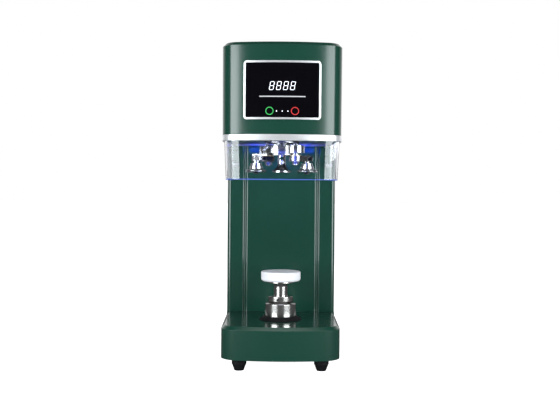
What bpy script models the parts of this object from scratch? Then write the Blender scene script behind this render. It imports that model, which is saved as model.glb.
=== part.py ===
"""Desktop can seamer: two seaming rollers on a turret above a lifting tray.

The frame is in metres with +Z up, +X to the operator's right and the operator
in front, at -Y. The origin is on the table, under the middle of the machine.
Turned pieces are modelled about their own axis, with heights measured from the
table, so each moving piece has its origin on the axis that it moves about.
"""

from dataclasses import dataclass
from math import asin, atan2, cos, hypot, pi, radians, sin, sqrt, tan, tau

import bmesh
import bpy
from mathutils import Matrix, Vector

# Driving dimensions of the body.
BODY_WIDTH = 0.258
AXIS_TO_FRONT = 0.128
AXIS_TO_COLUMN = 0.120
COLUMN_DEPTH = 0.212
FOOT_HEIGHT = 0.026
BASE_HEIGHT = 0.0715
COLUMN_HEIGHT = 0.3975
BAND_HEIGHT = 0.0135
HEAD_HEIGHT = 0.1975
HEAD_FLARE = 0.001
BOW_RADIUS = 0.450
CORNER_RADIUS = 0.040
REAR_CORNER = 0.015
EDGE_CHAMFER = 0.007

# Materials' thicknesses and the gap left between pieces that touch.
CLEAR = 0.0003
SHELL_WALL = 0.003
SHEET = 0.002
BASE_PLATE = 0.004
FRAME_WALL = 0.004
HEAD_PLATE = 0.008
BAND_WALL = 0.0035
BAND_PROUD = 0.0008

# Column.
COVER_STRIP = 0.041
GROOVE = 0.003
EDGE_ROLL = 0.005
COLUMN_CORNER = 0.008
EDGE_RETURN = 0.014
REAR_FLANGE = 0.024
FRAME_SIDE_GAP = 0.014
FRAME_FRONT_GAP = 0.020
REAR_RECESS = 0.007

# Feet.
FOOT_RADIUS = 0.016
FOOT_TIP = 0.010
FOOT_INSET = 0.040

# Guard.
GUARD_WALL = 0.005
GUARD_INSET = 0.0036
GUARD_DRAFT = 0.0037
GUARD_DROP = 0.0836
GUARD_BEVEL = 0.004
STUD_RADIUS = 0.006
STUD_LENGTH = 0.0097
STUD_INSET = 0.017
STUD_OUT = BODY_WIDTH / 2 - STUD_INSET
STUD_DROP = 0.0454

# Light bar under the head plate.
LIGHT_HALF = 0.070
LIGHT_HEIGHT = 0.0042
LIGHT_DEPTH = 0.008
LIGHT_SETBACK = 0.030

# Control panel.
PANEL_WIDTH = 0.165
PANEL_HEIGHT = 0.125
PANEL_RISE = 0.094
PANEL_BORDER = 0.0042
PANEL_CORNER = 0.007
PANEL_DEPTH = 0.0048
GLASS_RECESS = 0.0006
GLASS = 0.0027
BOARD = 0.0016
BOARD_EDGE = 0.0025

# Seaming head, measured outwards from the turret's axis.
SHAFT_RADIUS = 0.009
TUBE_WALL = 0.0031
SPINDLE_WALL = 0.0068
BEARING_WIDTH = 0.010
BEARING_HEIGHT = 0.014
HOUSING_WALL = 0.0057
HOUSING_FLANGE = 0.0395
HOUSING_RISE = 0.0615
HUB_RADIUS = 0.041
HUB_HEIGHT = 0.017
HUB_DROP = 0.006
LOBE_RADIUS = 0.020
PIVOT_OUT = 0.0306
PIVOT_FORWARD = 0.030
PIVOT_PIN = 0.006
PIVOT_HEAD = 0.008
ROLLER_OUT = 0.0575
PEG_ORBIT = 0.0318
OUTER_PEG_ORBIT = 0.0643
PEG_RADIUS = 0.0028
PEG_WALL = 0.0038
PEG_PLAY = 0.0012
FEED_PLATE_RADIUS = 0.034
FEED_PLATE = 0.0038
FEED_SWING = radians(6.5)
FEED_RIB = radians(6)
ARM_THICKNESS = 0.0125
ARM_DROP = 0.0013
ARM_BOSS = 0.014
ARM_END = 0.010
ROLLER_FLANGE = 0.0235
ROLLER_FLANGE_HEIGHT = 0.0064
ROLLER_STEP = 0.015
ROLLER_STEP_HEIGHT = 0.008
ROLLER_CAP = 0.0126
ROLLER_CAP_HEIGHT = 0.0065
ROLLER_NECK_HEIGHT = 0.0032
ROLLER_PIN = 0.004
CHUCK_RADIUS = 0.0215
CHUCK_RIM = 0.004
TOMMY_HOLE = 0.004
SPRING_RADIUS = 0.0038
HORN_OUT = 0.0475
HORN_FORWARD = 0.0375
ANCHOR_OUT = 0.0255
ANCHOR_DROP = 0.003
ANCHOR_RADIUS = 0.002
HORN_RADIUS = 0.0022

# Drive above and behind the seaming head.
TURRET_PULLEY = 0.045
MOTOR_PULLEY = 0.022
PULLEY_HEIGHT = 0.018
PULLEY_RISE = 0.005
BELT = 0.0014
BELT_EDGE = 0.001
MOTOR_BEHIND_COLUMN = 0.092
MOTOR_RADIUS = 0.055
MOTOR_LENGTH = 0.155
MOTOR_SHAFT = 0.007
BRIDGE_LEG = 0.060
BRIDGE_THICKNESS = 0.010
BRIDGE_WALL = 0.006
DRUM_RADIUS = 0.034
BRAKE_HALF_WIDTH = 0.009
BRAKE_DEPTH = 0.012

# Lift in the base.
LIFT_STROKE = 0.020
PLUNGER_RADIUS = 0.035
PLUNGER_WALL = 0.005
PLUNGER_CROWN = 0.0205
PLUNGER_TOP = 0.1365
PLUNGER_BOTTOM = 0.046
GUIDE_WALL = 0.0067
GUIDE_HEIGHT = 0.0272
GUIDE_FLANGE = 0.055
SEAL_FLARE = 0.0127
SEAL_RADIUS = PLUNGER_RADIUS + SEAL_FLARE
SEAL_HEIGHT = 0.0085
COLLAR_RADIUS = 0.02865
COLLAR_HEIGHT = 0.0142
COLLAR_SCREW = 0.0027
POST_RADIUS = 0.016
POST_TOP = 0.184
POST_BOTTOM = 0.060
POST_FLANGE = 0.0285
TRAY_RADIUS = 0.0445
TRAY_HEIGHT = 0.0217
PIVOT_BEHIND_COLUMN = 0.060
PIVOT_HEIGHT = 0.050
FORK_INNER = 0.026
FORK_OUTER = 0.038
NOSE_RADIUS = 0.006
NOSE_PROUD = 0.004
TAIL_REACH = 0.060
TAIL_PAD = 0.005
TAIL_OVERHANG = 0.012
TAIL_HALF_WIDTH = 0.012
TINE_KNEE = 0.055
LEVER_PIN = 0.004
LEVER_HUB = 0.009
EAR = 0.006
CAM_HEIGHT = 0.0773
CAM_THICKNESS = 0.010
CAM_TURN = radians(270)
CAM_DWELL = radians(20)
CAM_SHAFT = 0.005
BRACKET = 0.003
LIFT_MOTOR_RADIUS = 0.025
LIFT_MOTOR_LENGTH = 0.084

# Mains inlet and switch on the rear cover.
INLET_X = 0.062
INLET_HEIGHT = 0.135
SWITCH_HEIGHT = 0.180
ROCKER_THROW = radians(10)

# Facets of a full circle.
FINE = 40
COARSE = 24

# Levels and places that follow from the dimensions above.
HALF_WIDTH = BODY_WIDTH / 2
FRONT = -(AXIS_TO_FRONT + AXIS_TO_COLUMN + COLUMN_DEPTH) / 2
REAR = -FRONT
AXIS_Y = FRONT + AXIS_TO_FRONT
COLUMN_Y = AXIS_Y + AXIS_TO_COLUMN
STRIP_EDGE = HALF_WIDTH - COVER_STRIP
BASE_TOP = FOOT_HEIGHT + BASE_HEIGHT
BASE_FLOOR = FOOT_HEIGHT + BASE_PLATE
BAND_BOTTOM = BASE_TOP + COLUMN_HEIGHT
HEAD_BOTTOM = BAND_BOTTOM + BAND_HEIGHT
HEAD_TOP = HEAD_BOTTOM + HEAD_HEIGHT
PLATE_BOTTOM = HEAD_BOTTOM - HEAD_PLATE
PLATE_TOP = HEAD_BOTTOM
FRAME_FRONT = COLUMN_Y + FRAME_FRONT_GAP
FRAME_HALF = HALF_WIDTH - FRAME_SIDE_GAP
REAR_FACE = REAR - REAR_RECESS
FRAME_BACK = REAR_FACE - SHEET - CLEAR
PANEL_Z = HEAD_BOTTOM + PANEL_RISE

TUBE_BORE = SHAFT_RADIUS + 0.0004
TUBE_RADIUS = TUBE_BORE + TUBE_WALL
SPINDLE_BORE = TUBE_RADIUS + 0.0004
SPINDLE_RADIUS = SPINDLE_BORE + SPINDLE_WALL
BEARING_BORE = SPINDLE_RADIUS + CLEAR
BEARING_RADIUS = BEARING_BORE + BEARING_WIDTH
HOUSING_BORE = BEARING_RADIUS + CLEAR
HOUSING_RADIUS = HOUSING_BORE + HOUSING_WALL
FLANGE_TOP = PLATE_BOTTOM - CLEAR
FLANGE_BOTTOM = FLANGE_TOP - 0.005
HOUSING_TOP = PLATE_TOP + HOUSING_RISE
HUB_TOP = FLANGE_BOTTOM - HUB_DROP
HUB_BOTTOM = HUB_TOP - HUB_HEIGHT
FEED_TOP = HUB_BOTTOM - 0.0004
FEED_BOTTOM = FEED_TOP - FEED_PLATE
ARM_TOP = FEED_BOTTOM - ARM_DROP
ARM_BOTTOM = ARM_TOP - ARM_THICKNESS
ROLLER_TOP = ARM_BOTTOM - CLEAR
CAP_TOP = ROLLER_TOP - ROLLER_NECK_HEIGHT
STEP_TOP = CAP_TOP - ROLLER_CAP_HEIGHT
FLANGE_RIM_TOP = STEP_TOP - ROLLER_STEP_HEIGHT
ROLLER_BOTTOM = FLANGE_RIM_TOP - ROLLER_FLANGE_HEIGHT
CHUCK_BOTTOM = ROLLER_BOTTOM - 0.0006
CHUCK_TOP = FEED_TOP - 0.0008
PIVOT_REACH = hypot(PIVOT_OUT, PIVOT_FORWARD)
PULLEY_BOTTOM = HOUSING_TOP + PULLEY_RISE
PULLEY_TOP = PULLEY_BOTTOM + PULLEY_HEIGHT
DRUM_BOTTOM = PULLEY_TOP + 0.004
DRUM_TOP = DRUM_BOTTOM + PULLEY_HEIGHT
TUBE_TOP = DRUM_TOP + 0.002
BEAM_BOTTOM = TUBE_TOP + 0.003
BEAM_TOP = BEAM_BOTTOM + BRIDGE_THICKNESS
BRIDGE_HALF_DEPTH = SHAFT_RADIUS + CLEAR + BRIDGE_WALL
MOTOR_Y = COLUMN_Y + MOTOR_BEHIND_COLUMN
LEVER_Y = COLUMN_Y + PIVOT_BEHIND_COLUMN
FORK_REACH = LEVER_Y - AXIS_Y
NOSE_DROP = PIVOT_HEIGHT - (PLUNGER_BOTTOM - CLEAR - NOSE_RADIUS)
CAM_Y = LEVER_Y + TAIL_REACH
CAM_RISE = CAM_HEIGHT - PIVOT_HEIGHT
LEVER_SWING = LIFT_STROKE / FORK_REACH


@dataclass(frozen=True)
class Plan:
    """The body's outline seen from above: a bowed front and rounded corners."""

    half_width: float = HALF_WIDTH
    front: float = FRONT
    rear: float = REAR
    bow: float = BOW_RADIUS
    corner: float = CORNER_RADIUS
    rear_corner: float = REAR_CORNER

    def inset(self, distance, widen=0.0):
        """The same outline moved in by distance, with its sides let out by widen."""
        return Plan(
            self.half_width - distance + widen,
            self.front + distance,
            self.rear - distance,
            self.bow - distance,
            self.corner - distance,
            self.rear_corner - distance,
        )

    def front_path(self, bow_steps=8, corner_steps=6):
        """Points from the left side round the bowed front to the right side."""
        centre_x = self.half_width - self.corner
        bow_y = self.front + self.bow
        centre_y = bow_y - sqrt((self.bow - self.corner) ** 2 - centre_x**2)
        meet = atan2(centre_x, bow_y - centre_y)
        right = [
            (self.bow * sin(angle), bow_y - self.bow * cos(angle))
            for angle in (meet * step / bow_steps for step in range(bow_steps))
        ]
        right += [
            (centre_x + self.corner * sin(angle), centre_y - self.corner * cos(angle))
            for angle in (
                meet + (pi / 2 - meet) * step / corner_steps for step in range(corner_steps + 1)
            )
        ]
        return [(-x, y) for x, y in reversed(right[1:])] + right

    def outline(self, stations=(), corner_steps=4):
        """The closed outline, counter-clockwise, with extra points where asked on both sides."""
        centre_x = self.half_width - self.rear_corner
        centre_y = self.rear - self.rear_corner
        right = [(self.half_width, y) for y in stations]
        right += [
            (centre_x + self.rear_corner * cos(angle), centre_y + self.rear_corner * sin(angle))
            for angle in (pi / 2 * step / corner_steps for step in range(corner_steps + 1))
        ]
        return self.front_path() + right + [(-x, y) for x, y in reversed(right)]


BODY = Plan()


def clear_scene():
    """Remove every object, so that the script starts from an empty scene."""
    for thing in list(bpy.data.objects):
        bpy.data.objects.remove(thing, do_unlink=True)


def finish(name, colour, roughness, metallic=0.0, transmission=0.0):
    """A Principled material of one colour."""
    material = bpy.data.materials.new(name)
    material.use_nodes = True
    shader = material.node_tree.nodes["Principled BSDF"]
    shader.inputs["Base Color"].default_value = (*colour, 1.0)
    shader.inputs["Roughness"].default_value = roughness
    shader.inputs["Metallic"].default_value = metallic
    shader.inputs["Transmission Weight"].default_value = transmission
    return material


def joint_axis(name, at, parent=None):
    """An empty on a joint's axis, which the pieces that turn or slide there hang from."""
    empty = bpy.data.objects.new(name, None)
    empty.empty_display_size = 0.03
    empty.parent = parent
    empty.location = at
    bpy.context.collection.objects.link(empty)
    return empty


def mesh_object(name, shape):
    """Turn a bmesh into an object of the scene."""
    mesh = bpy.data.meshes.new(name)
    shape.to_mesh(mesh)
    shape.free()
    result = bpy.data.objects.new(name, mesh)
    bpy.context.collection.objects.link(result)
    return result


def build(name, shape, material, at=(0, 0, 0), parent=None, add=(), keep=(), cut=(), refill=()):
    """Make one named piece; shapes to add, keep within, cut or refill become live Booleans."""
    piece = mesh_object(name, shape)
    piece.data.materials.append(material)
    piece.data.shade_smooth()
    piece.data.set_sharp_from_angle(angle=radians(30))
    piece.parent = parent
    piece.location = at
    steps = [("UNION", tool) for tool in add]
    steps += [("INTERSECT", tool) for tool in keep]
    steps += [("DIFFERENCE", tool) for tool in cut]
    steps += [("UNION", tool) for tool in refill]
    for number, (operation, tool_shape) in enumerate(steps):
        tool = mesh_object(f"{name}_tool_{number}", tool_shape)
        tool.parent = parent
        tool.location = at
        tool.hide_render = True
        tool.display_type = "WIRE"
        modifier = piece.modifiers.new(operation.title(), "BOOLEAN")
        modifier.operation = operation
        modifier.solver = "EXACT"
        modifier.object = tool
    return piece


def turned(profile, segments=COARSE, along="Z"):
    """Spin a (radius, height) section; it is closed unless it starts and ends on the axis."""
    shape = bmesh.new()
    points = [shape.verts.new((radius, 0, height)) for radius, height in profile]
    edges = [shape.edges.new(pair) for pair in zip(points, points[1:])]
    if profile[0][0] > 0 or profile[-1][0] > 0:
        edges.append(shape.edges.new((points[-1], points[0])))
    bmesh.ops.spin(
        shape, geom=points + edges, axis=(0, 0, 1), cent=(0, 0, 0), angle=tau, steps=segments
    )
    bmesh.ops.remove_doubles(shape, verts=shape.verts, dist=1e-6)
    if along == "X":
        shape.transform(Matrix(((0, 0, 1, 0), (1, 0, 0, 0), (0, 1, 0, 0), (0, 0, 0, 1))))
    if along == "Y":
        shape.transform(Matrix(((0, 1, 0, 0), (0, 0, 1, 0), (1, 0, 0, 0), (0, 0, 0, 1))))
    bmesh.ops.recalc_face_normals(shape, faces=shape.faces)
    return shape


def rod(radius, low, high, segments=COARSE, along="Z"):
    """A plain cylinder on the axis."""
    return turned([(0, low), (radius, low), (radius, high), (0, high)], segments, along)


def tube(bore, radius, low, high, segments=COARSE):
    """A plain ring about Z."""
    return turned([(bore, low), (radius, low), (radius, high), (bore, high)], segments)


def moved(shape, x=0.0, y=0.0, z=0.0, turn=0.0):
    """Turn a shape about Z, then shift it."""
    shape.transform(Matrix.Translation((x, y, z)) @ Matrix.Rotation(turn, 4, "Z"))
    return shape


def skin(loops, ring=False):
    """Join loops of as many points into a wall, with its two ends capped unless it is a ring."""
    shape = bmesh.new()
    rows = [[shape.verts.new(point) for point in loop] for loop in loops]
    followers = rows[1:] + rows[:1] if ring else rows[1:]
    for lower, upper in zip(rows, followers):
        for i in range(len(lower)):
            shape.faces.new((lower[i - 1], lower[i], upper[i], upper[i - 1]))
    if not ring:
        shape.faces.new(rows[0])
        shape.faces.new(rows[-1])
    bmesh.ops.recalc_face_normals(shape, faces=shape.faces)
    return shape


def at_height(outline, height):
    """Lift a flat outline to a height."""
    return [(x, y, height) for x, y in outline]


def prism(outline, low, high, plane="XY"):
    """A straight-sided solid over an outline that lies in one of the main planes."""
    place = {
        "XY": lambda u, v, w: (u, v, w),
        "XZ": lambda u, v, w: (u, w, v),
        "YZ": lambda u, v, w: (w, u, v),
    }[plane]
    return skin([[place(u, v, level) for u, v in outline] for level in (low, high)])


def block(low, high):
    """A box between two corners."""
    shape = bmesh.new()
    centre = (Vector(low) + Vector(high)) / 2
    size = Vector(high) - Vector(low)
    bmesh.ops.create_cube(
        shape, size=1, matrix=Matrix.Translation(centre) @ Matrix.Diagonal(size).to_4x4()
    )
    return shape


def arc(centre, radius, start, end, steps):
    """Points of an arc, from one angle to another."""
    return [
        (centre[0] + radius * cos(angle), centre[1] + radius * sin(angle))
        for angle in (start + (end - start) * step / steps for step in range(steps + 1))
    ]


def rounded_box(half_width, half_height, radius, centre=(0, 0), steps=4):
    """A rectangle with round corners, counter-clockwise."""
    x, y = half_width - radius, half_height - radius
    corners = [(x, y), (-x, y), (-x, -y), (x, -y)]
    return [
        point
        for quarter, (u, v) in enumerate(corners)
        for point in arc(
            (centre[0] + u, centre[1] + v), radius, quarter * pi / 2, (quarter + 1) * pi / 2, steps
        )
    ]


def link(first, first_radius, second, second_radius, steps=10):
    """The outline of a belt or a bar round two circles, counter-clockwise."""
    span = hypot(second[0] - first[0], second[1] - first[1])
    heading = atan2(second[1] - first[1], second[0] - first[0])
    lean = pi / 2 - atan2(first_radius - second_radius, sqrt(span**2 - (first_radius - second_radius) ** 2))
    near = arc(first, first_radius, heading + lean, heading + tau - lean, steps)
    far = arc(second, second_radius, heading - lean, heading + lean, steps)
    return near + far


def bent_sheet(corners, radii, thickness, steps=4):
    """The outline of a bent sheet: its outer corners are rounded, and its wall lies to the left."""
    outer = [corners[0]]
    for before, corner, after, radius in zip(corners, corners[1:], corners[2:], radii):
        here = Vector(corner)
        back = (Vector(before) - here).normalized()
        ahead = (Vector(after) - here).normalized()
        half = back.angle(ahead) / 2
        centre = here + (back + ahead).normalized() * (radius / sin(half))
        start = here + back * (radius / tan(half)) - centre
        end = here + ahead * (radius / tan(half)) - centre
        turn = start.angle_signed(end)
        for step in range(steps + 1):
            outer.append(tuple(centre + Matrix.Rotation(-turn * step / steps, 2) @ start))
    outer.append(corners[-1])
    inner = []
    for i, point in enumerate(outer):
        headings = []
        if i > 0:
            headings.append((Vector(point) - Vector(outer[i - 1])).normalized())
        if i < len(outer) - 1:
            headings.append((Vector(outer[i + 1]) - Vector(point)).normalized())
        heading = sum(headings, Vector((0, 0))).normalized()
        left = Vector((-heading.y, heading.x))
        inner.append(tuple(Vector(point) + left * (thickness / heading.dot(headings[0]))))
    return outer + inner[::-1]


def build_base(paint, steel, rubber):
    """The base housing, its bottom plate with the lever's ears, and four feet."""
    stations = (COLUMN_Y - CLEAR, COLUMN_Y)

    def top_loop(distance, height):
        """A loop that is drawn in by the chamfer only where it runs in front of the column."""
        near = BODY.inset(distance + EDGE_CHAMFER).outline(stations)
        far = BODY.inset(distance).outline(stations)
        return at_height([a if b[1] < COLUMN_Y else b for a, b in zip(near, far)], height)

    outer = BODY.outline(stations)
    inner = BODY.inset(SHELL_WALL).outline(stations)
    shell = skin(
        [
            top_loop(SHELL_WALL, BASE_TOP - SHELL_WALL),
            at_height(inner, BASE_TOP - SHELL_WALL - EDGE_CHAMFER),
            at_height(inner, FOOT_HEIGHT),
            at_height(outer, FOOT_HEIGHT),
            at_height(outer, BASE_TOP - EDGE_CHAMFER),
            top_loop(0, BASE_TOP),
        ]
    )
    frame_gap = 0.001
    build(
        "base_housing",
        shell,
        paint,
        cut=[
            block(
                (-FRAME_HALF - frame_gap, FRAME_FRONT - frame_gap, BASE_TOP - 0.02),
                (FRAME_HALF + frame_gap, FRAME_BACK + frame_gap, BASE_TOP + 0.02),
            ),
            moved(
                rod(
                    PLUNGER_RADIUS + GUIDE_WALL + 2 * CLEAR, BASE_TOP - 0.02, BASE_TOP + 0.02, FINE
                ),
                y=AXIS_Y,
            ),
        ],
    )
    ears = [
        block(
            (side * (FORK_OUTER + 0.0023) - EAR * (side < 0), LEVER_Y - 0.010, BASE_FLOOR - 0.002),
            (side * (FORK_OUTER + 0.0023) + EAR * (side > 0), LEVER_Y + 0.010, PIVOT_HEIGHT + 0.009),
        )
        for side in (-1, 1)
    ]
    pin_hole = moved(rod(LEVER_PIN + CLEAR, -0.06, 0.06, along="X"), y=LEVER_Y, z=PIVOT_HEIGHT)
    plate = BODY.inset(SHELL_WALL + 0.0004).outline()
    build("base_plate", prism(plate, FOOT_HEIGHT, BASE_FLOOR), steel, add=ears, cut=[pin_hole])
    for name, x, y in (
        ("foot_front_left", FOOT_INSET - HALF_WIDTH, FRONT + FOOT_INSET),
        ("foot_front_right", HALF_WIDTH - FOOT_INSET, FRONT + FOOT_INSET),
        ("foot_rear_left", FOOT_INSET - HALF_WIDTH, REAR - FOOT_INSET),
        ("foot_rear_right", HALF_WIDTH - FOOT_INSET, REAR - FOOT_INSET),
    ):
        profile = [
            (0, 0),
            (FOOT_TIP, 0),
            (FOOT_RADIUS, FOOT_HEIGHT * 0.55),
            (FOOT_RADIUS, FOOT_HEIGHT - CLEAR),
            (0, FOOT_HEIGHT - CLEAR),
        ]
        build(name, turned(profile), rubber, at=(x, y, 0))


def build_column(paint, steel):
    """The load-carrying channel and the bent covers that hide it."""
    low, high = BASE_TOP + CLEAR, BAND_BOTTOM - CLEAR
    right = bent_sheet(
        [
            (STRIP_EDGE, COLUMN_Y + EDGE_RETURN),
            (STRIP_EDGE, COLUMN_Y),
            (HALF_WIDTH, COLUMN_Y),
            (HALF_WIDTH, REAR),
            (HALF_WIDTH - REAR_FLANGE, REAR),
        ],
        [EDGE_ROLL, COLUMN_CORNER, REAR_CORNER],
        SHEET,
    )
    build("column_cover_right", prism(right, low, high), paint)
    build("column_cover_left", prism([(-x, y) for x, y in right], low, high), paint)
    panel_edge = STRIP_EDGE - GROOVE
    panel = bent_sheet(
        [
            (-panel_edge, COLUMN_Y + EDGE_RETURN),
            (-panel_edge, COLUMN_Y),
            (panel_edge, COLUMN_Y),
            (panel_edge, COLUMN_Y + EDGE_RETURN),
        ],
        [EDGE_ROLL, EDGE_ROLL],
        SHEET,
    )
    build("column_front_panel", prism(panel, low, high), paint)
    channel = bent_sheet(
        [
            (-FRAME_HALF, FRAME_BACK),
            (-FRAME_HALF, FRAME_FRONT),
            (FRAME_HALF, FRAME_FRONT),
            (FRAME_HALF, FRAME_BACK),
        ],
        [FRAME_WALL * 1.5, FRAME_WALL * 1.5],
        FRAME_WALL,
    )
    lever_window = block(
        (-FORK_OUTER - 0.022, FRAME_FRONT - 0.01, FOOT_HEIGHT),
        (FORK_OUTER + 0.022, FRAME_FRONT + 0.01, BASE_TOP - 0.006),
    )
    build(
        "column_frame",
        prism(channel, BASE_FLOOR + CLEAR, PLATE_BOTTOM - CLEAR),
        steel,
        cut=[lever_window],
    )


def build_rear_cover(paint, black, steel):
    """The rear cover with its vents, and the mains inlet and rocker switch that it carries."""
    vent_width, vent_height, vent_pitch, vent_rows = 0.032, 0.004, 0.013, 9
    vents_top = BAND_BOTTOM - 0.045
    edge = HALF_WIDTH - REAR_FLANGE + 0.012
    inlet_half, inlet_half_height = 0.0140, 0.0105
    switch_half, switch_half_height = 0.0085, 0.0125
    holes = [
        block(
            (side * vent_width * 0.7 - vent_width / 2, REAR_FACE - 0.01, z),
            (side * vent_width * 0.7 + vent_width / 2, REAR_FACE + 0.01, z + vent_height),
        )
        for side in (-1, 1)
        for z in (vents_top - row * vent_pitch for row in range(vent_rows))
    ]
    for half, half_height, height in (
        (inlet_half, inlet_half_height, INLET_HEIGHT),
        (switch_half, switch_half_height, SWITCH_HEIGHT),
    ):
        holes.append(
            block(
                (INLET_X - half - CLEAR, REAR_FACE - 0.01, height - half_height - CLEAR),
                (INLET_X + half + CLEAR, REAR_FACE + 0.01, height + half_height + CLEAR),
            )
        )
    build(
        "rear_cover",
        block((-edge, REAR_FACE - SHEET, BASE_TOP + CLEAR), (edge, REAR_FACE, BAND_BOTTOM - CLEAR)),
        paint,
        cut=holes,
    )
    face = REAR_FACE + CLEAR
    inlet_depth, flange = 0.018, 0.0025
    pocket_floor = face - inlet_depth + 0.002
    pins = [
        block(
            (x - 0.001, pocket_floor - 0.001, z),
            (x + 0.001, pocket_floor + 0.013, z + 0.004),
        )
        for x, z in ((-0.006, -0.0035), (0.006, -0.0035), (0.0, 0.0015))
    ]
    pocket = block(
        (-inlet_half + 0.0015, pocket_floor, -inlet_half_height + 0.0015),
        (inlet_half - 0.0015, face + 0.01, inlet_half_height - 0.0015),
    )
    plate = prism(rounded_box(0.024, 0.014, 0.004), face, face + flange, plane="XZ")
    build(
        "power_inlet",
        block(
            (-inlet_half, face - inlet_depth, -inlet_half_height),
            (inlet_half, face + flange / 2, inlet_half_height),
        ),
        black,
        at=(INLET_X, 0, INLET_HEIGHT),
        add=[plate],
        cut=[pocket],
        refill=pins,
    )
    bezel = 0.002
    build(
        "switch_housing",
        block(
            (-switch_half, face - 0.014, -switch_half_height),
            (switch_half, face + bezel / 2, switch_half_height),
        ),
        black,
        at=(INLET_X, 0, SWITCH_HEIGHT),
        add=[prism(rounded_box(0.0105, 0.015, 0.002), face, face + bezel, plane="XZ")],
        cut=[
            block(
                (-switch_half + 0.0015, face - 0.012, -switch_half_height + 0.0015),
                (switch_half - 0.0015, face + 0.01, switch_half_height - 0.0015),
            )
        ],
    )
    rocker_axis = joint_axis("power_rocker_axis", (INLET_X, face, SWITCH_HEIGHT))
    half_height, half_width = 0.0095, switch_half - 0.0015 - CLEAR
    profile = [(0.0032, 0), (0.0052, half_height), (-0.002, half_height), (-0.006, 0.002)]
    profile += [(y, -z) for y, z in reversed(profile[1:])]
    rest = [
        (y * cos(ROCKER_THROW) - z * sin(ROCKER_THROW), y * sin(ROCKER_THROW) + z * cos(ROCKER_THROW))
        for y, z in profile
    ]
    build("power_rocker", prism(rest, -half_width, half_width, plane="YZ"), steel, parent=rocker_axis)


def build_head(paint, bright, steel, clear, blue):
    """The head cover, the trim band, the plate that carries the drive, the guard and its light."""
    upper = HEAD_TOP - EDGE_CHAMFER
    foot = HEAD_BOTTOM + CLEAR
    inner = BODY.inset(SHELL_WALL)
    shell = skin(
        [
            at_height(BODY.inset(SHELL_WALL + EDGE_CHAMFER, HEAD_FLARE).outline(), HEAD_TOP - SHELL_WALL),
            at_height(BODY.inset(SHELL_WALL, HEAD_FLARE).outline(), upper - SHELL_WALL),
            at_height(inner.outline(), foot),
            at_height(BODY.outline(), foot),
            at_height(BODY.inset(0, HEAD_FLARE).outline(), upper),
            at_height(BODY.inset(EDGE_CHAMFER, HEAD_FLARE).outline(), HEAD_TOP),
        ]
    )
    window = prism(
        rounded_box(
            PANEL_WIDTH / 2 + CLEAR, PANEL_HEIGHT / 2 + CLEAR, PANEL_CORNER + CLEAR, (0, PANEL_Z)
        ),
        FRONT - 0.01,
        FRONT + 0.03,
        plane="XZ",
    )
    build("head_cover", shell, paint, cut=[window])
    outside = BODY.inset(-BAND_PROUD).outline()
    inside = BODY.inset(BAND_WALL - BAND_PROUD).outline()
    build(
        "trim_band",
        skin(
            [
                at_height(outside, BAND_BOTTOM),
                at_height(outside, HEAD_BOTTOM),
                at_height(inside, HEAD_BOTTOM),
                at_height(inside, BAND_BOTTOM),
            ],
            ring=True,
        ),
        bright,
    )
    plate = BODY.inset(BAND_WALL - BAND_PROUD + CLEAR).outline()
    build(
        "head_plate",
        prism(plate, PLATE_BOTTOM, PLATE_TOP),
        steel,
        cut=[
            moved(rod(HOUSING_RADIUS + CLEAR, BAND_BOTTOM, HEAD_TOP, FINE), y=AXIS_Y),
            moved(rod(MOTOR_SHAFT + 0.005, BAND_BOTTOM, HEAD_TOP), y=MOTOR_Y),
        ],
    )
    build_guard(clear)
    for name, side in (("guard_stud_left", -1), ("guard_stud_right", 1)):
        stud = rod(STUD_RADIUS, COLUMN_Y - CLEAR - STUD_LENGTH, COLUMN_Y - CLEAR, 16, along="Y")
        build(name, stud, bright, at=(side * STUD_OUT, 0, BAND_BOTTOM - STUD_DROP))
    light_front = FRONT + LIGHT_SETBACK
    build(
        "led_bar",
        block(
            (-LIGHT_HALF, light_front, PLATE_BOTTOM - CLEAR - LIGHT_HEIGHT),
            (LIGHT_HALF, light_front + LIGHT_DEPTH, PLATE_BOTTOM - CLEAR),
        ),
        blue,
    )


def build_guard(clear):
    """The clear guard, a tapering U that hangs inside the band in front of the column."""

    def loop(inset, height):
        """The U at one height, outside and inside."""
        outer, inner = (BODY.inset(inset + depth) for depth in (0, GUARD_WALL))
        end = COLUMN_Y - CLEAR
        outside = [(-outer.half_width, end)] + outer.front_path() + [(outer.half_width, end)]
        inside = [(-inner.half_width, end)] + inner.front_path() + [(inner.half_width, end)]
        return at_height(outside + inside[::-1], height)

    bottom = BAND_BOTTOM - GUARD_DROP
    drop = PLATE_BOTTOM - CLEAR - bottom
    rows = [(0, PLATE_BOTTOM - CLEAR), (1 - GUARD_BEVEL / drop, bottom + GUARD_BEVEL), (1, bottom)]
    build("guard", skin([loop(GUARD_INSET + GUARD_DRAFT * share, z) for share, z in rows]), clear)


def bow_slab(front, thickness, half_width, low, high, steps=12):
    """A piece of the bowed front: its faces follow the bow at two depths."""
    bow_y = FRONT + BOW_RADIUS
    outline = []
    for radius, direction in ((bow_y - front, 1), (bow_y - front - thickness, -1)):
        reach = half_width / radius
        outline += [
            (radius * sin(angle), bow_y - radius * cos(angle))
            for angle in (direction * reach * (2 * step / steps - 1) for step in range(steps + 1))
        ]
    return prism(outline, low, high)


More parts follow.
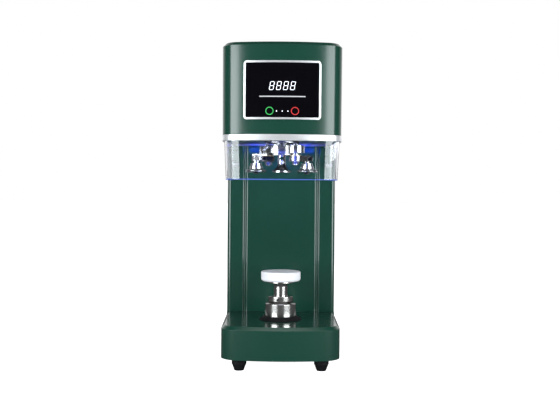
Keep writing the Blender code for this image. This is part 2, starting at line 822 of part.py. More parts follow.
def build_panel(bright, glass, green):
    """The curved frame and glass of the control panel, and the flat board behind them."""
    low, high = PANEL_Z - PANEL_HEIGHT, PANEL_Z + PANEL_HEIGHT
    face = FRONT - BAND_PROUD

    def opening(shrink):
        """A straight hole through the front, smaller than the panel all round."""
        return prism(
            rounded_box(
                PANEL_WIDTH / 2 - shrink,
                PANEL_HEIGHT / 2 - shrink,
                PANEL_CORNER - shrink,
                (0, PANEL_Z),
            ),
            FRONT - 0.01,
            FRONT + 0.03,
            plane="XZ",
        )

    build(
        "panel_frame",
        bow_slab(face, PANEL_DEPTH, PANEL_WIDTH, low, high),
        bright,
        keep=[opening(0)],
        cut=[opening(PANEL_BORDER)],
    )
    build(
        "display_glass",
        bow_slab(face + GLASS_RECESS, GLASS, PANEL_WIDTH, low, high),
        glass,
        keep=[opening(PANEL_BORDER + CLEAR)],
    )
    board_half = PANEL_WIDTH / 2 - BOARD_EDGE
    back_radius = FRONT + BOW_RADIUS - face - PANEL_DEPTH
    board_front = FRONT + BOW_RADIUS - sqrt(back_radius**2 - board_half**2) + CLEAR
    board_half_height = PANEL_HEIGHT / 2 - 3 * PANEL_BORDER
    build(
        "display_board",
        block(
            (-board_half, board_front, PANEL_Z - board_half_height),
            (board_half, board_front + BOARD, PANEL_Z + board_half_height),
        ),
        green,
    )


def build_drive(steel, dark, brass):
    """The fixed part of the seaming head's drive: housing, bearings, shaft, chuck and motor."""
    at = (0, AXIS_Y, 0)
    build(
        "spindle_housing",
        turned(
            [
                (HOUSING_BORE, FLANGE_BOTTOM),
                (HOUSING_FLANGE, FLANGE_BOTTOM),
                (HOUSING_FLANGE, FLANGE_TOP),
                (HOUSING_RADIUS, FLANGE_TOP),
                (HOUSING_RADIUS, HOUSING_TOP),
                (HOUSING_BORE, HOUSING_TOP),
            ],
            FINE,
        ),
        steel,
        at,
    )
    for name, low in (
        ("spindle_bearing_lower", PLATE_BOTTOM + 0.0015),
        ("spindle_bearing_upper", HOUSING_TOP - BEARING_HEIGHT - 0.004),
    ):
        build(name, tube(BEARING_BORE, BEARING_RADIUS, low, low + BEARING_HEIGHT, FINE), steel, at)
    build("centre_shaft", rod(SHAFT_RADIUS, CHUCK_TOP + CLEAR, BEAM_TOP + 0.004), steel, at)
    neck_bottom = CHUCK_BOTTOM + 0.022
    build(
        "chuck",
        turned(
            [
                (0, CHUCK_BOTTOM),
                (CHUCK_RADIUS, CHUCK_BOTTOM),
                (CHUCK_RADIUS, CHUCK_BOTTOM + CHUCK_RIM),
                (SHAFT_RADIUS + 0.005, CHUCK_BOTTOM + CHUCK_RIM + 0.006),
                (SHAFT_RADIUS + 0.0015, neck_bottom - 0.005),
                (SHAFT_RADIUS, neck_bottom),
                (SHAFT_RADIUS, CHUCK_TOP),
                (0, CHUCK_TOP),
            ],
            FINE,
        ),
        steel,
        at,
        cut=[moved(rod(TOMMY_HOLE, -0.05, 0.05, 12, along="Y"), z=(neck_bottom + CHUCK_TOP) / 2)],
    )
    leg, half = BRIDGE_LEG, BRIDGE_THICKNESS / 2
    foot = PLATE_TOP + CLEAR
    build(
        "shaft_bridge",
        prism(
            [
                (-leg - half, foot),
                (-leg + half, foot),
                (-leg + half, BEAM_BOTTOM),
                (leg - half, BEAM_BOTTOM),
                (leg - half, foot),
                (leg + half, foot),
                (leg + half, BEAM_TOP),
                (-leg - half, BEAM_TOP),
            ],
            -BRIDGE_HALF_DEPTH,
            BRIDGE_HALF_DEPTH,
            plane="XZ",
        ),
        steel,
        at,
        cut=[rod(SHAFT_RADIUS + CLEAR, BEAM_BOTTOM - 0.01, BEAM_TOP + 0.01)],
    )
    post_back = -TURRET_PULLEY - BELT - 0.004
    shoe = block(
        (-BRAKE_HALF_WIDTH, post_back - 0.002, DRUM_BOTTOM + 0.002),
        (BRAKE_HALF_WIDTH, -DRUM_RADIUS + 0.004, DRUM_TOP - 0.002),
    )
    build(
        "feed_brake",
        block(
            (-BRAKE_HALF_WIDTH, post_back - BRAKE_DEPTH, PLATE_TOP + CLEAR),
            (BRAKE_HALF_WIDTH, post_back, DRUM_TOP),
        ),
        brass,
        at,
        add=[shoe],
        cut=[rod(DRUM_RADIUS + CLEAR, DRUM_BOTTOM - 0.002, DRUM_TOP + 0.002, FINE)],
    )
    motor_top = PLATE_BOTTOM - CLEAR
    motor_low = motor_top - MOTOR_LENGTH
    shaft_low = motor_top - 0.020
    build(
        "drive_motor",
        turned(
            [
                (0, motor_low),
                (MOTOR_RADIUS - 0.005, motor_low),
                (MOTOR_RADIUS, motor_low + 0.005),
                (MOTOR_RADIUS, motor_top - 0.004),
                (MOTOR_RADIUS - 0.015, motor_top - 0.004),
                (MOTOR_RADIUS - 0.015, motor_top),
                (MOTOR_SHAFT + CLEAR, motor_top),
                (MOTOR_SHAFT + CLEAR, shaft_low),
                (0, shaft_low),
            ]
        ),
        dark,
        (0, MOTOR_Y, 0),
    )
    rotor = joint_axis("motor_axis", (0, MOTOR_Y, 0))
    build("motor_shaft", rod(MOTOR_SHAFT, shaft_low + CLEAR, PULLEY_TOP + 0.003), steel, parent=rotor)
    build(
        "motor_pulley",
        tube(MOTOR_SHAFT + CLEAR, MOTOR_PULLEY, PULLEY_BOTTOM, PULLEY_TOP),
        dark,
        parent=rotor,
    )
    loops = [
        at_height(
            link((0, AXIS_Y), TURRET_PULLEY + grow, (0, MOTOR_Y), MOTOR_PULLEY + grow, COARSE), level
        )
        for grow, level in (
            (CLEAR, PULLEY_BOTTOM + BELT_EDGE),
            (CLEAR + BELT, PULLEY_BOTTOM + BELT_EDGE),
            (CLEAR + BELT, PULLEY_TOP - BELT_EDGE),
            (CLEAR, PULLEY_TOP - BELT_EDGE),
        )
    ]
    build("turret_belt", skin(loops, ring=True), dark)


def pivot_place(side):
    """Where an arm pivots: front right for the first arm, and half a turn from there for the second."""
    return side * PIVOT_OUT, -side * PIVOT_FORWARD


def sector(low_radius, high_radius, half_angle, low, high, steps=8):
    """A solid slice of a ring about Z, centred on +X."""
    outline = arc((0, 0), high_radius, -half_angle, half_angle, steps)
    outline += arc((0, 0), low_radius, half_angle, -half_angle, steps)
    return prism(outline, low, high)


def feed_ear():
    """The feed plate's ear, which reaches past the second pivot, and the cuts in the plate.

    The first arm's peg is inside its pivot and the second's is outside, so the plate
    closes one roller as it turns one way, and the other roller as it turns back.
    """
    below, above = FEED_BOTTOM - 0.01, FEED_TOP + 0.003
    first, second = (atan2(y, x) for x, y in (pivot_place(1), pivot_place(-1)))
    around = PIVOT_HEAD + 3 * CLEAR
    window_angle = FEED_SWING + asin(around / PIVOT_REACH)
    half_slot = PEG_RADIUS + CLEAR
    outer_end = OUTER_PEG_ORBIT + half_slot
    ear = sector(
        FEED_PLATE_RADIUS - 0.010,
        outer_end + PEG_WALL,
        window_angle + FEED_RIB,
        FEED_BOTTOM,
        FEED_TOP,
    )
    window = sector(PIVOT_REACH - around, PIVOT_REACH + around, window_angle, below, above)
    open_slot = block(
        (PEG_ORBIT - PEG_RADIUS - 0.003, -half_slot, below),
        (FEED_PLATE_RADIUS + 0.01, half_slot, above),
    )
    closed_slot = block(
        (OUTER_PEG_ORBIT - half_slot - PEG_PLAY, -half_slot, below),
        (outer_end, half_slot, above),
    )
    cuts = [moved(open_slot, turn=first), moved(window, turn=second), moved(closed_slot, turn=second)]
    return moved(ear, turn=second), cuts


def build_turret(steel, dark, spring_steel):
    """The turret: its spindle, pulley and hub, the feed tube inside it and the two roller arms."""
    turret = joint_axis("turret_axis", (0, AXIS_Y, 0))
    build(
        "turret_spindle",
        tube(SPINDLE_BORE, SPINDLE_RADIUS, HUB_BOTTOM + CLEAR, PULLEY_TOP + 0.001, FINE),
        steel,
        parent=turret,
    )
    build(
        "turret_pulley",
        tube(SPINDLE_RADIUS + CLEAR, TURRET_PULLEY, PULLEY_BOTTOM, PULLEY_TOP, FINE),
        dark,
        parent=turret,
    )
    pivots = [pivot_place(side) for side in (-1, 1)]
    lobes = [moved(rod(LOBE_RADIUS, HUB_BOTTOM, HUB_TOP, FINE), x, y) for x, y in pivots]
    rim = -sqrt(HUB_RADIUS**2 - ANCHOR_OUT**2)
    anchor = moved(
        rod(ANCHOR_RADIUS, rim - 0.009, rim + 0.006, 12, along="Y"),
        x=-ANCHOR_OUT,
        z=HUB_TOP - ANCHOR_DROP,
    )
    through = (HUB_BOTTOM - 0.01, HUB_TOP + 0.01)
    bores = [moved(rod(PIVOT_PIN + CLEAR, *through), x, y) for x, y in pivots]
    build(
        "turret_hub",
        tube(SPINDLE_RADIUS + CLEAR, HUB_RADIUS, HUB_BOTTOM, HUB_TOP, FINE),
        steel,
        parent=turret,
        add=lobes + [anchor],
        cut=bores + [rod(SPINDLE_RADIUS + CLEAR, *through, FINE)],
    )
    feed = joint_axis("feed_axis", (0, 0, 0), turret)
    ear, slots = feed_ear()
    build(
        "feed_tube",
        turned(
            [
                (TUBE_BORE, FEED_BOTTOM),
                (FEED_PLATE_RADIUS, FEED_BOTTOM),
                (FEED_PLATE_RADIUS, FEED_TOP),
                (TUBE_RADIUS, FEED_TOP),
                (TUBE_RADIUS, TUBE_TOP),
                (TUBE_BORE, TUBE_TOP),
            ],
            FINE,
        ),
        steel,
        parent=feed,
        add=[ear],
        cut=slots,
    )
    build(
        "feed_drum",
        tube(TUBE_RADIUS + CLEAR, DRUM_RADIUS, DRUM_BOTTOM, DRUM_TOP, FINE),
        dark,
        parent=feed,
    )
    for order, side in (("first", 1), ("second", -1)):
        build_arm(order, side, turret, steel, dark)
    high = Vector((-ANCHOR_OUT - 0.003, -HORN_FORWARD, HUB_TOP - ANCHOR_DROP - 0.001))
    low = Vector((-HORN_OUT + 0.0042, -HORN_FORWARD, ARM_TOP + 0.0112))
    spring = rod(SPRING_RADIUS, 0, (high - low).length, 16)
    spring.transform(Matrix.Translation(low) @ (high - low).to_track_quat("Z", "Y").to_matrix().to_4x4())
    build("arm_spring", spring, spring_steel, parent=turret)


def build_arm(order, side, turret, steel, dark):
    """One roller arm with its pivot pin, which the hub holds, and the roller that it carries."""
    place = Vector(pivot_place(side))
    pivot = joint_axis(f"arm_{order}_axis", (*place, 0), turret)
    nut_top = ARM_BOTTOM - CLEAR
    build(
        f"pivot_pin_{order}",
        turned(
            [
                (0, nut_top - 0.0085),
                (PIVOT_HEAD - 0.001, nut_top - 0.0085),
                (PIVOT_HEAD - 0.001, nut_top),
                (PIVOT_PIN, nut_top),
                (PIVOT_PIN, HUB_TOP + CLEAR),
                (PIVOT_HEAD, HUB_TOP + CLEAR),
                (PIVOT_HEAD, HUB_TOP + 0.0045),
                (0, HUB_TOP + 0.0045),
            ]
        ),
        dark,
        at=(*place, 0),
        parent=turret,
    )
    reach = (side * ROLLER_OUT - place.x, -place.y)
    orbit = PEG_ORBIT if side > 0 else OUTER_PEG_ORBIT
    peg_place = place * (orbit / PIVOT_REACH - 1)
    peg = moved(rod(PEG_RADIUS, ARM_TOP - 0.002, FEED_TOP - 0.0004, 16), *peg_place)
    boss = rod(PIVOT_HEAD, ARM_TOP - 0.002, HUB_BOTTOM - CLEAR)
    additions = [boss, peg]
    if side < 0:
        tab = link((0, 0), ARM_BOSS * 0.6, tuple(peg_place), PEG_RADIUS + PEG_WALL, 8)
        additions.append(prism(tab, ARM_BOTTOM + 0.002, ARM_TOP - 0.001))
        horn = (-HORN_OUT - place.x, -HORN_FORWARD - place.y)
        strap = link(reach, 0.007, horn, HORN_RADIUS + 0.0013, 6)
        additions.append(prism(strap, ARM_BOTTOM + 0.002, ARM_TOP - 0.002))
        post = rod(HORN_RADIUS, ARM_TOP - 0.006, ARM_TOP + 0.014, 12)
        additions.append(moved(post, x=horn[0], y=horn[1]))
    through = (ARM_BOTTOM - 0.01, HUB_BOTTOM + 0.01)
    build(
        f"roller_arm_{order}",
        prism(link((0, 0), ARM_BOSS, reach, ARM_END), ARM_BOTTOM, ARM_TOP),
        steel,
        parent=pivot,
        add=additions,
        cut=[
            rod(PIVOT_PIN + CLEAR, *through),
            moved(rod(ROLLER_PIN + CLEAR, *through, 16), x=reach[0], y=reach[1]),
        ],
    )
    build(
        f"roller_pin_{order}",
        turned(
            [
                (0, ROLLER_BOTTOM - 0.0035),
                (ROLLER_PIN + 0.0016, ROLLER_BOTTOM - 0.0035),
                (ROLLER_PIN + 0.0016, ROLLER_BOTTOM - CLEAR),
                (ROLLER_PIN, ROLLER_BOTTOM - CLEAR),
                (ROLLER_PIN, ARM_TOP + 0.002),
                (0, ARM_TOP + 0.002),
            ],
            16,
        ),
        dark,
        at=(*reach, 0),
        parent=pivot,
    )
    spin = joint_axis(f"roller_{order}_axis", (*reach, 0), pivot)
    bore = ROLLER_PIN + CLEAR
    groove_low = ROLLER_BOTTOM + 0.0018
    groove_high = FLANGE_RIM_TOP - 0.0014
    build(
        f"seaming_roller_{order}",
        turned(
            [
                (bore, ROLLER_BOTTOM),
                (ROLLER_FLANGE - 0.001, ROLLER_BOTTOM),
                (ROLLER_FLANGE, groove_low),
                (ROLLER_FLANGE - 0.0014, (groove_low + groove_high) / 2),
                (ROLLER_FLANGE, groove_high),
                (ROLLER_FLANGE - 0.0008, FLANGE_RIM_TOP),
                (ROLLER_STEP, FLANGE_RIM_TOP),
                (ROLLER_STEP, STEP_TOP),
                (ROLLER_CAP, STEP_TOP),
                (ROLLER_CAP, CAP_TOP),
                (ROLLER_PIN + 0.002, CAP_TOP),
                (ROLLER_PIN + 0.002, ROLLER_TOP),
                (bore, ROLLER_TOP),
            ],
            FINE,
        ),
        steel,
        parent=spin,
    )


def build_lift(steel, rubber, white, dark):
    """The tray on its post, the plunger that lifts it, and the guide and seal in the base."""
    at = (0, AXIS_Y, 0)
    guide_bore = PLUNGER_RADIUS + CLEAR
    guide_radius = guide_bore + GUIDE_WALL
    roof = BASE_TOP - SHELL_WALL
    build(
        "plunger_guide",
        turned(
            [
                (guide_bore, BASE_TOP - CLEAR - GUIDE_HEIGHT),
                (guide_radius, BASE_TOP - CLEAR - GUIDE_HEIGHT),
                (guide_radius, roof - 0.0045),
                (GUIDE_FLANGE, roof - 0.0045),
                (GUIDE_FLANGE, roof - CLEAR),
                (guide_radius, roof - CLEAR),
                (guide_radius, BASE_TOP - CLEAR),
                (guide_bore, BASE_TOP - CLEAR),
            ],
            FINE,
        ),
        steel,
        at,
    )
    seal_low = BASE_TOP + CLEAR
    build(
        "seal_ring",
        turned(
            [
                (guide_bore, seal_low),
                (SEAL_RADIUS, seal_low),
                (SEAL_RADIUS, seal_low + 0.0012),
                (SEAL_RADIUS - 0.0065, seal_low + 0.0042),
                (guide_bore + 0.0022, seal_low + SEAL_HEIGHT),
                (guide_bore, seal_low + SEAL_HEIGHT),
            ],
            FINE,
        ),
        rubber,
        at,
    )
    plunger = joint_axis("plunger_axis", at)
    bore = POST_RADIUS + CLEAR
    crown = PLUNGER_TOP - PLUNGER_CROWN
    build(
        "lift_plunger",
        turned(
            [
                (PLUNGER_RADIUS - PLUNGER_WALL, PLUNGER_BOTTOM),
                (PLUNGER_RADIUS, PLUNGER_BOTTOM),
                (PLUNGER_RADIUS, PLUNGER_TOP - 0.003),
                (PLUNGER_RADIUS - 0.003, PLUNGER_TOP),
                (bore, PLUNGER_TOP),
                (bore, crown),
                (PLUNGER_RADIUS - PLUNGER_WALL, crown),
            ],
            FINE,
        ),
        steel,
        parent=plunger,
    )
    collar_low = PLUNGER_TOP + CLEAR
    screw = moved(
        rod(COLLAR_SCREW, -COLLAR_RADIUS - 0.005, -POST_RADIUS - 0.003, 16, along="Y"),
        z=collar_low + COLLAR_HEIGHT / 2,
        turn=-radians(14),
    )
    build(
        "lock_collar",
        turned(
            [
                (bore, collar_low),
                (COLLAR_RADIUS - 0.004, collar_low),
                (COLLAR_RADIUS, collar_low + 0.0022),
                (COLLAR_RADIUS, collar_low + COLLAR_HEIGHT),
                (bore, collar_low + COLLAR_HEIGHT),
            ],
            FINE,
        ),
        steel,
        parent=plunger,
        cut=[screw],
    )
    tray = joint_axis("tray_axis", (0, 0, 0), plunger)
    build(
        "tray_post",
        turned(
            [
                (0, POST_BOTTOM),
                (POST_RADIUS, POST_BOTTOM),
                (POST_RADIUS, POST_TOP - 0.0115),
                (POST_RADIUS + 0.006, POST_TOP - 0.0045),
                (POST_FLANGE, POST_TOP - 0.0040),
                (POST_FLANGE, POST_TOP),
                (0, POST_TOP),
            ],
            FINE,
        ),
        steel,
        parent=tray,
    )
    low = POST_TOP + CLEAR
    top = low + TRAY_HEIGHT
    lower_edge = arc((TRAY_RADIUS - 0.006, low + 0.006), 0.006, -pi / 2, 0, 4)
    upper_edge = arc((TRAY_RADIUS - 0.002, top - 0.002), 0.002, 0, pi / 2, 2)
    build("tray_disc", turned([(0, low)] + lower_edge + upper_edge + [(0, top)], FINE), white, parent=tray)
    build_lever(steel, dark)


def snail(low_radius, high_radius, ramp_steps=36, return_steps=8):
    """The cam's outline: a steady rise over its working turn, a short return and a dwell."""
    down = -pi / 2
    return_turn = tau - CAM_TURN - CAM_DWELL
    rise = [(step / ramp_steps, down + CAM_TURN * step / ramp_steps) for step in range(ramp_steps + 1)]
    fall = [
        (1 - step / return_steps, down + CAM_TURN + return_turn * step / return_steps)
        for step in range(1, return_steps + 1)
    ]
    outline = []
    for share, angle in rise + fall:
        radius = low_radius + (high_radius - low_radius) * share
        outline.append((radius * cos(angle), radius * sin(angle)))
    return outline


def build_lever(steel, dark):
    """The forked lever under the plunger, its pin, and the motor-driven snail cam above its tail."""
    pin_half = FORK_OUTER + 0.0023 + EAR + CLEAR
    head = [(0, -pin_half - 0.003), (0.006, -pin_half - 0.003), (0.006, -pin_half), (LEVER_PIN, -pin_half)]
    build(
        "lever_pin",
        turned(head + [(radius, -x) for radius, x in reversed(head)], along="X"),
        steel,
        at=(0, LEVER_Y, PIVOT_HEIGHT),
    )
    lever = joint_axis("lever_axis", (0, LEVER_Y, PIVOT_HEIGHT))
    beam_top = NOSE_RADIUS - NOSE_DROP - NOSE_PROUD
    beam_low = -NOSE_DROP - NOSE_RADIUS
    nose_start = asin((NOSE_RADIUS - NOSE_PROUD) / NOSE_RADIUS)
    knee = -TINE_KNEE
    tine = [(0, LEVER_HUB - 0.001), (0, -LEVER_HUB + 0.001), (knee, beam_low)]
    tine += [(-FORK_REACH - NOSE_RADIUS, beam_low)]
    tine += arc((-FORK_REACH, -NOSE_DROP), NOSE_RADIUS, pi, nose_start, 8)
    tine += [(knee, beam_top)]
    tines = [
        prism(tine, *sorted((side * FORK_INNER, side * FORK_OUTER)), plane="YZ") for side in (-1, 1)
    ]
    tail_end = TAIL_REACH + TAIL_OVERHANG
    tail_side = [
        (0, -LEVER_HUB + 0.002),
        (tail_end, -0.004),
        (tail_end, TAIL_PAD),
        (TAIL_REACH - TAIL_OVERHANG, TAIL_PAD),
        (0, LEVER_HUB - 0.002),
    ]
    tail = prism(tail_side, -TAIL_HALF_WIDTH, TAIL_HALF_WIDTH, plane="YZ")
    build(
        "lift_lever",
        rod(LEVER_HUB, -FORK_OUTER, FORK_OUTER, along="X"),
        dark,
        parent=lever,
        add=tines + [tail],
        cut=[rod(LEVER_PIN + CLEAR, -0.06, 0.06, along="X")],
    )
    low_radius = CAM_RISE - TAIL_PAD - CLEAR
    high_radius = TAIL_REACH * sin(LEVER_SWING) + CAM_RISE * cos(LEVER_SWING) - TAIL_PAD - CLEAR
    outline = snail(low_radius, high_radius)
    cam = joint_axis("cam_axis", (0, CAM_Y, CAM_HEIGHT))
    half = CAM_THICKNESS / 2
    plate_low = half + 0.007
    plate_high = plate_low + BRACKET
    motor_low = plate_high + CLEAR
    build(
        "lift_cam",
        prism(outline, -half, half, plane="YZ"),
        steel,
        parent=cam,
        add=[
            turned(
                [
                    (0, -half - 0.004),
                    (0.009, -half - 0.004),
                    (0.009, plate_low - 0.001),
                    (CAM_SHAFT, plate_low - 0.001),
                    (CAM_SHAFT, motor_low + 0.016),
                    (0, motor_low + 0.016),
                ],
                along="X",
            )
        ],
    )
    motor_high = motor_low + LIFT_MOTOR_LENGTH
    build(
        "lift_motor",
        turned(
            [
                (CAM_SHAFT + CLEAR, motor_low),
                (LIFT_MOTOR_RADIUS, motor_low),
                (LIFT_MOTOR_RADIUS, motor_high - 0.004),
                (LIFT_MOTOR_RADIUS - 0.004, motor_high),
                (0, motor_high),
                (0, motor_low + 0.018),
                (CAM_SHAFT + CLEAR, motor_low + 0.018),
            ],
            along="X",
        ),
        dark,
        at=(0, CAM_Y, CAM_HEIGHT),
    )
    half_depth = LIFT_MOTOR_RADIUS + 0.003
    floor = BASE_FLOOR + CLEAR - CAM_HEIGHT
    foot = block(
        (plate_low + 0.001, -half_depth, floor),
        (plate_low + 0.050, half_depth, floor + BRACKET),
    )
    build(
        "lift_bracket",
        block((plate_low, -half_depth, floor), (plate_high, half_depth, half_depth)),
        steel,
        at=(0, CAM_Y, CAM_HEIGHT),
        add=[foot],
        cut=[rod(CAM_SHAFT + 0.004, 0, plate_high + 0.01, along="X")],
    )


def main():
    """Build the whole machine."""
    clear_scene()
    paint = finish("green_paint", (0.022, 0.082, 0.052), 0.32)
    steel = finish("polished_steel", (0.62, 0.62, 0.63), 0.22, metallic=1.0)
    bright = finish("brushed_aluminium", (0.80, 0.80, 0.81), 0.30, metallic=1.0)
    dark = finish("black_oxide", (0.03, 0.03, 0.035), 0.40, metallic=0.6)
    brass = finish("brass", (0.70, 0.50, 0.20), 0.30, metallic=1.0)
    rubber = finish("black_rubber", (0.012, 0.012, 0.012), 0.70)
    white = finish("white_acetal", (0.85, 0.85, 0.86), 0.35)
    clear = finish("clear_polycarbonate", (0.90, 0.92, 0.98), 0.05, transmission=0.9)
    black = finish("black_plastic", (0.015, 0.015, 0.017), 0.45)
    glass = finish("black_glass", (0.008, 0.008, 0.010), 0.08)
    board = finish("circuit_board", (0.02, 0.12, 0.04), 0.50)
    blue = finish("blue_light", (0.10, 0.20, 0.90), 0.30)
    build_base(paint, steel, rubber)
    build_column(paint, steel)
    build_rear_cover(paint, black, black)
    build_head(paint, bright, steel, clear, blue)
    build_panel(bright, glass, board)
    build_drive(steel, dark, brass)
    build_turret(steel, dark, bright)
    build_lift(steel, rubber, white, dark)


main()
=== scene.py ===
"""The looks of a desktop can seamer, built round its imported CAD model.

Everything is in metres in the model's own frame: +Z is up, +X is to the operator's
right and the operator stands at -Y. Each sub-assembly is a class that takes its
places from the frame, models its pieces and dresses them in their finishes.
"""

import logging
from dataclasses import dataclass, field, replace
from enum import Enum
from math import acos, asin, atan2, cos, hypot, pi, radians, sin, sqrt, tau
from typing import Callable, Iterable, Sequence

import bpy
from mathutils import Matrix, Vector


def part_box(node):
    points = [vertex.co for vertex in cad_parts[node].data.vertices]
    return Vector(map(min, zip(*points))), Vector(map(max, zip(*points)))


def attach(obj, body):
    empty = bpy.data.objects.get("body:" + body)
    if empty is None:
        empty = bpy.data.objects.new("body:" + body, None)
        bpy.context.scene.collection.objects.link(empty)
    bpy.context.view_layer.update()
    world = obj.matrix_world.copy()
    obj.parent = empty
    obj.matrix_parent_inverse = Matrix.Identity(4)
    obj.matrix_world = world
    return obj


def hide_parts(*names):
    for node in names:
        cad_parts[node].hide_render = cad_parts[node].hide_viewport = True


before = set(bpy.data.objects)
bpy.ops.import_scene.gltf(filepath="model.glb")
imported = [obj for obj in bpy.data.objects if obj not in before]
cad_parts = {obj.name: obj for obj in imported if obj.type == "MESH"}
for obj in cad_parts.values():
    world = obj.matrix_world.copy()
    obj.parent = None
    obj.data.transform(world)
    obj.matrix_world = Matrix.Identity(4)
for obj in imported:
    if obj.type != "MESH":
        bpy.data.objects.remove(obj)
log = logging.getLogger("can_seamer")

Flat = tuple[float, float]
Point = tuple[float, float, float]
Colour = tuple[float, float, float]
Socket = bpy.types.NodeSocket
Test = Callable[[Vector, Vector], bool]
Triple = Sequence[float]

CLEAR = 0.0003  # the gap round a piece that is let into another
TINY = 1e-5  # how near counts as the same place
PAST = 0.01  # how far a cutting tool reaches past what it cuts
FACETS = 96  # flats in a full turn
UP, DOWN = (0, 0, 1), (0, 0, -1)
FRONT, BACK = (0, -1, 0), (0, 1, 0)
SIDES = ((1, "right"), (-1, "left"))


@dataclass(frozen=True)
class Span:
    """The box that one CAD node fills at rest."""

    low: Vector
    high: Vector

    @classmethod
    def of(cls, node: str) -> "Span":
        """The box of a CAD node."""
        return cls(*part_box(node))

    @property
    def centre(self) -> Vector:
        """The middle of the box."""
        return (self.low + self.high) / 2

    @property
    def size(self) -> Vector:
        """The box's width, depth and height."""
        return self.high - self.low

    @property
    def radius(self) -> float:
        """The radius of an upright round node."""
        return self.size.x / 2


class Graph:
    """The nodes of one material or world, made with short calls."""

    def __init__(self, owner: bpy.types.ID, shader: str = "Principled BSDF") -> None:
        """Hold the tree of a new material or world, and its shader."""
        owner.use_nodes = True
        self.tree = owner.node_tree
        self.shader = self.tree.nodes[shader]

    def feed(self, socket: Socket, value: object) -> None:
        """Link another node's output to a socket, or set the socket's own value.

        Args:
            socket: The input to fill.
            value: An output socket, or a plain value.
        """
        if isinstance(value, Socket):
            self.tree.links.new(value, socket)
        else:
            socket.default_value = value

    def node(self, kind: str, inputs: dict | None = None, **settings: object) -> bpy.types.Node:
        """Add a node.

        Args:
            kind: The node's type without its ShaderNode prefix.
            inputs: What to feed to its inputs, by name or number.
            settings: Its other settings.

        Returns:
            The new node.
        """
        made = self.tree.nodes.new(f"ShaderNode{kind}")
        for key, value in settings.items():
            setattr(made, key, value)
        for key, value in (inputs or {}).items():
            self.feed(made.inputs[key], value)
        return made

    def set(self, **values: object) -> None:
        """Fill the shader's sockets, whose names are written with underscores."""
        for key, value in values.items():
            self.feed(self.shader.inputs[key.replace("_", " ")], value)

    def place(self, stretch: Point = (1, 1, 1), centre: Point = (0, 0, 0)) -> Socket:
        """Object coordinates about a centre, stretched along each axis."""
        coordinates = self.node("TexCoord").outputs["Object"]
        shift = tuple(-c * s for c, s in zip(centre, stretch))
        mapping = self.node("Mapping", {"Vector": coordinates, "Location": shift, "Scale": stretch})
        return mapping.outputs["Vector"]

    def noise(self, scale: float, detail: float = 2.0, at: Socket | None = None) -> Socket:
        """Noise of a given fineness, in object coordinates unless told otherwise."""
        vector = at or self.place()
        made = self.node("TexNoise", {"Vector": vector, "Scale": scale, "Detail": detail})
        return made.outputs["Fac"]

    def between(self, factor: Socket, low: float, high: float, edges: Flat = (0.3, 0.7)) -> Socket:
        """Map a pattern to a range of numbers.

        Args:
            factor: The pattern.
            low: What its darkest parts become.
            high: What its brightest parts become.
            edges: The pattern's values that count as darkest and brightest.

        Returns:
            The mapped pattern.
        """
        inputs = {"Value": factor, "From Min": edges[0], "From Max": edges[1]}
        inputs |= {"To Min": low, "To Max": high}
        return self.node("MapRange", inputs).outputs["Result"]

    def tint(self, factor: Socket, low: Colour, high: Colour) -> Socket:
        """Mix two colours by a pattern."""
        inputs = {0: factor, 6: (*low, 1.0), 7: (*high, 1.0)}
        return self.node("Mix", inputs, data_type="RGBA").outputs[2]

    def bump(self, height: Socket, strength: float, depth: float) -> None:
        """Raise and lower the surface by a pattern."""
        made = self.node("Bump", {"Height": height, "Strength": strength, "Distance": depth})
        self.set(Normal=made.outputs["Normal"])

    def sum(self, first: Socket, second: Socket, operation: str = "ADD") -> Socket:
        """Two patterns joined by a sum or another operation."""
        return self.node("Math", {0: first, 1: second}, operation=operation).outputs[0]


def tone(colour: Colour, share: float) -> Colour:
    """A lighter or darker tone of a colour."""
    return tuple(channel * share for channel in colour)


@dataclass(frozen=True)
class Finish:
    """A surface finish. Each kind of finish says how it fills its shader."""

    name: str
    colour: Colour
    roughness: float = 0.4
    slot: str = ""

    def material(self) -> bpy.types.Material:
        """The finish's material, made when it is first asked for."""
        name = f"{self.name}_finish"
        material = bpy.data.materials.get(name)
        if not material:
            material = bpy.data.materials.new(name)
            self.dress(Graph(material))
        return material

    def dress(self, graph: Graph) -> None:
        """Fill the shader with the finish's colour and roughness, slightly uneven."""
        uneven = graph.noise(40.0, 3.0)
        graph.set(Base_Color=graph.tint(uneven, tone(self.colour, 0.92), tone(self.colour, 1.06)))
        graph.set(Roughness=graph.between(uneven, self.roughness - 0.03, self.roughness + 0.04))


@dataclass(frozen=True)
class Paint(Finish):
    """Sprayed or powder-coated paint with a fine orange peel."""

    peel: float = 0.0022

    def dress(self, graph: Graph) -> None:
        """Fill the shader: an even colour, and a surface that ripples very finely."""
        super().dress(graph)
        cloud = graph.noise(5.0, 2.0)
        graph.set(Base_Color=graph.tint(cloud, tone(self.colour, 0.93), tone(self.colour, 1.07)))
        graph.bump(graph.noise(1 / self.peel, 0.0), 0.012, 0.0002)
        graph.set(Specular_IOR_Level=0.08, Coat_Weight=1.0, Coat_Roughness=0.16)


class Lay(Enum):
    """Which way the tool marks run on a metal surface."""

    ROUND = "turned about an upright axis"
    AROUND_Y = "turned about an axis from front to back"
    ACROSS = "brushed from side to side"
    BLASTED = "no direction"


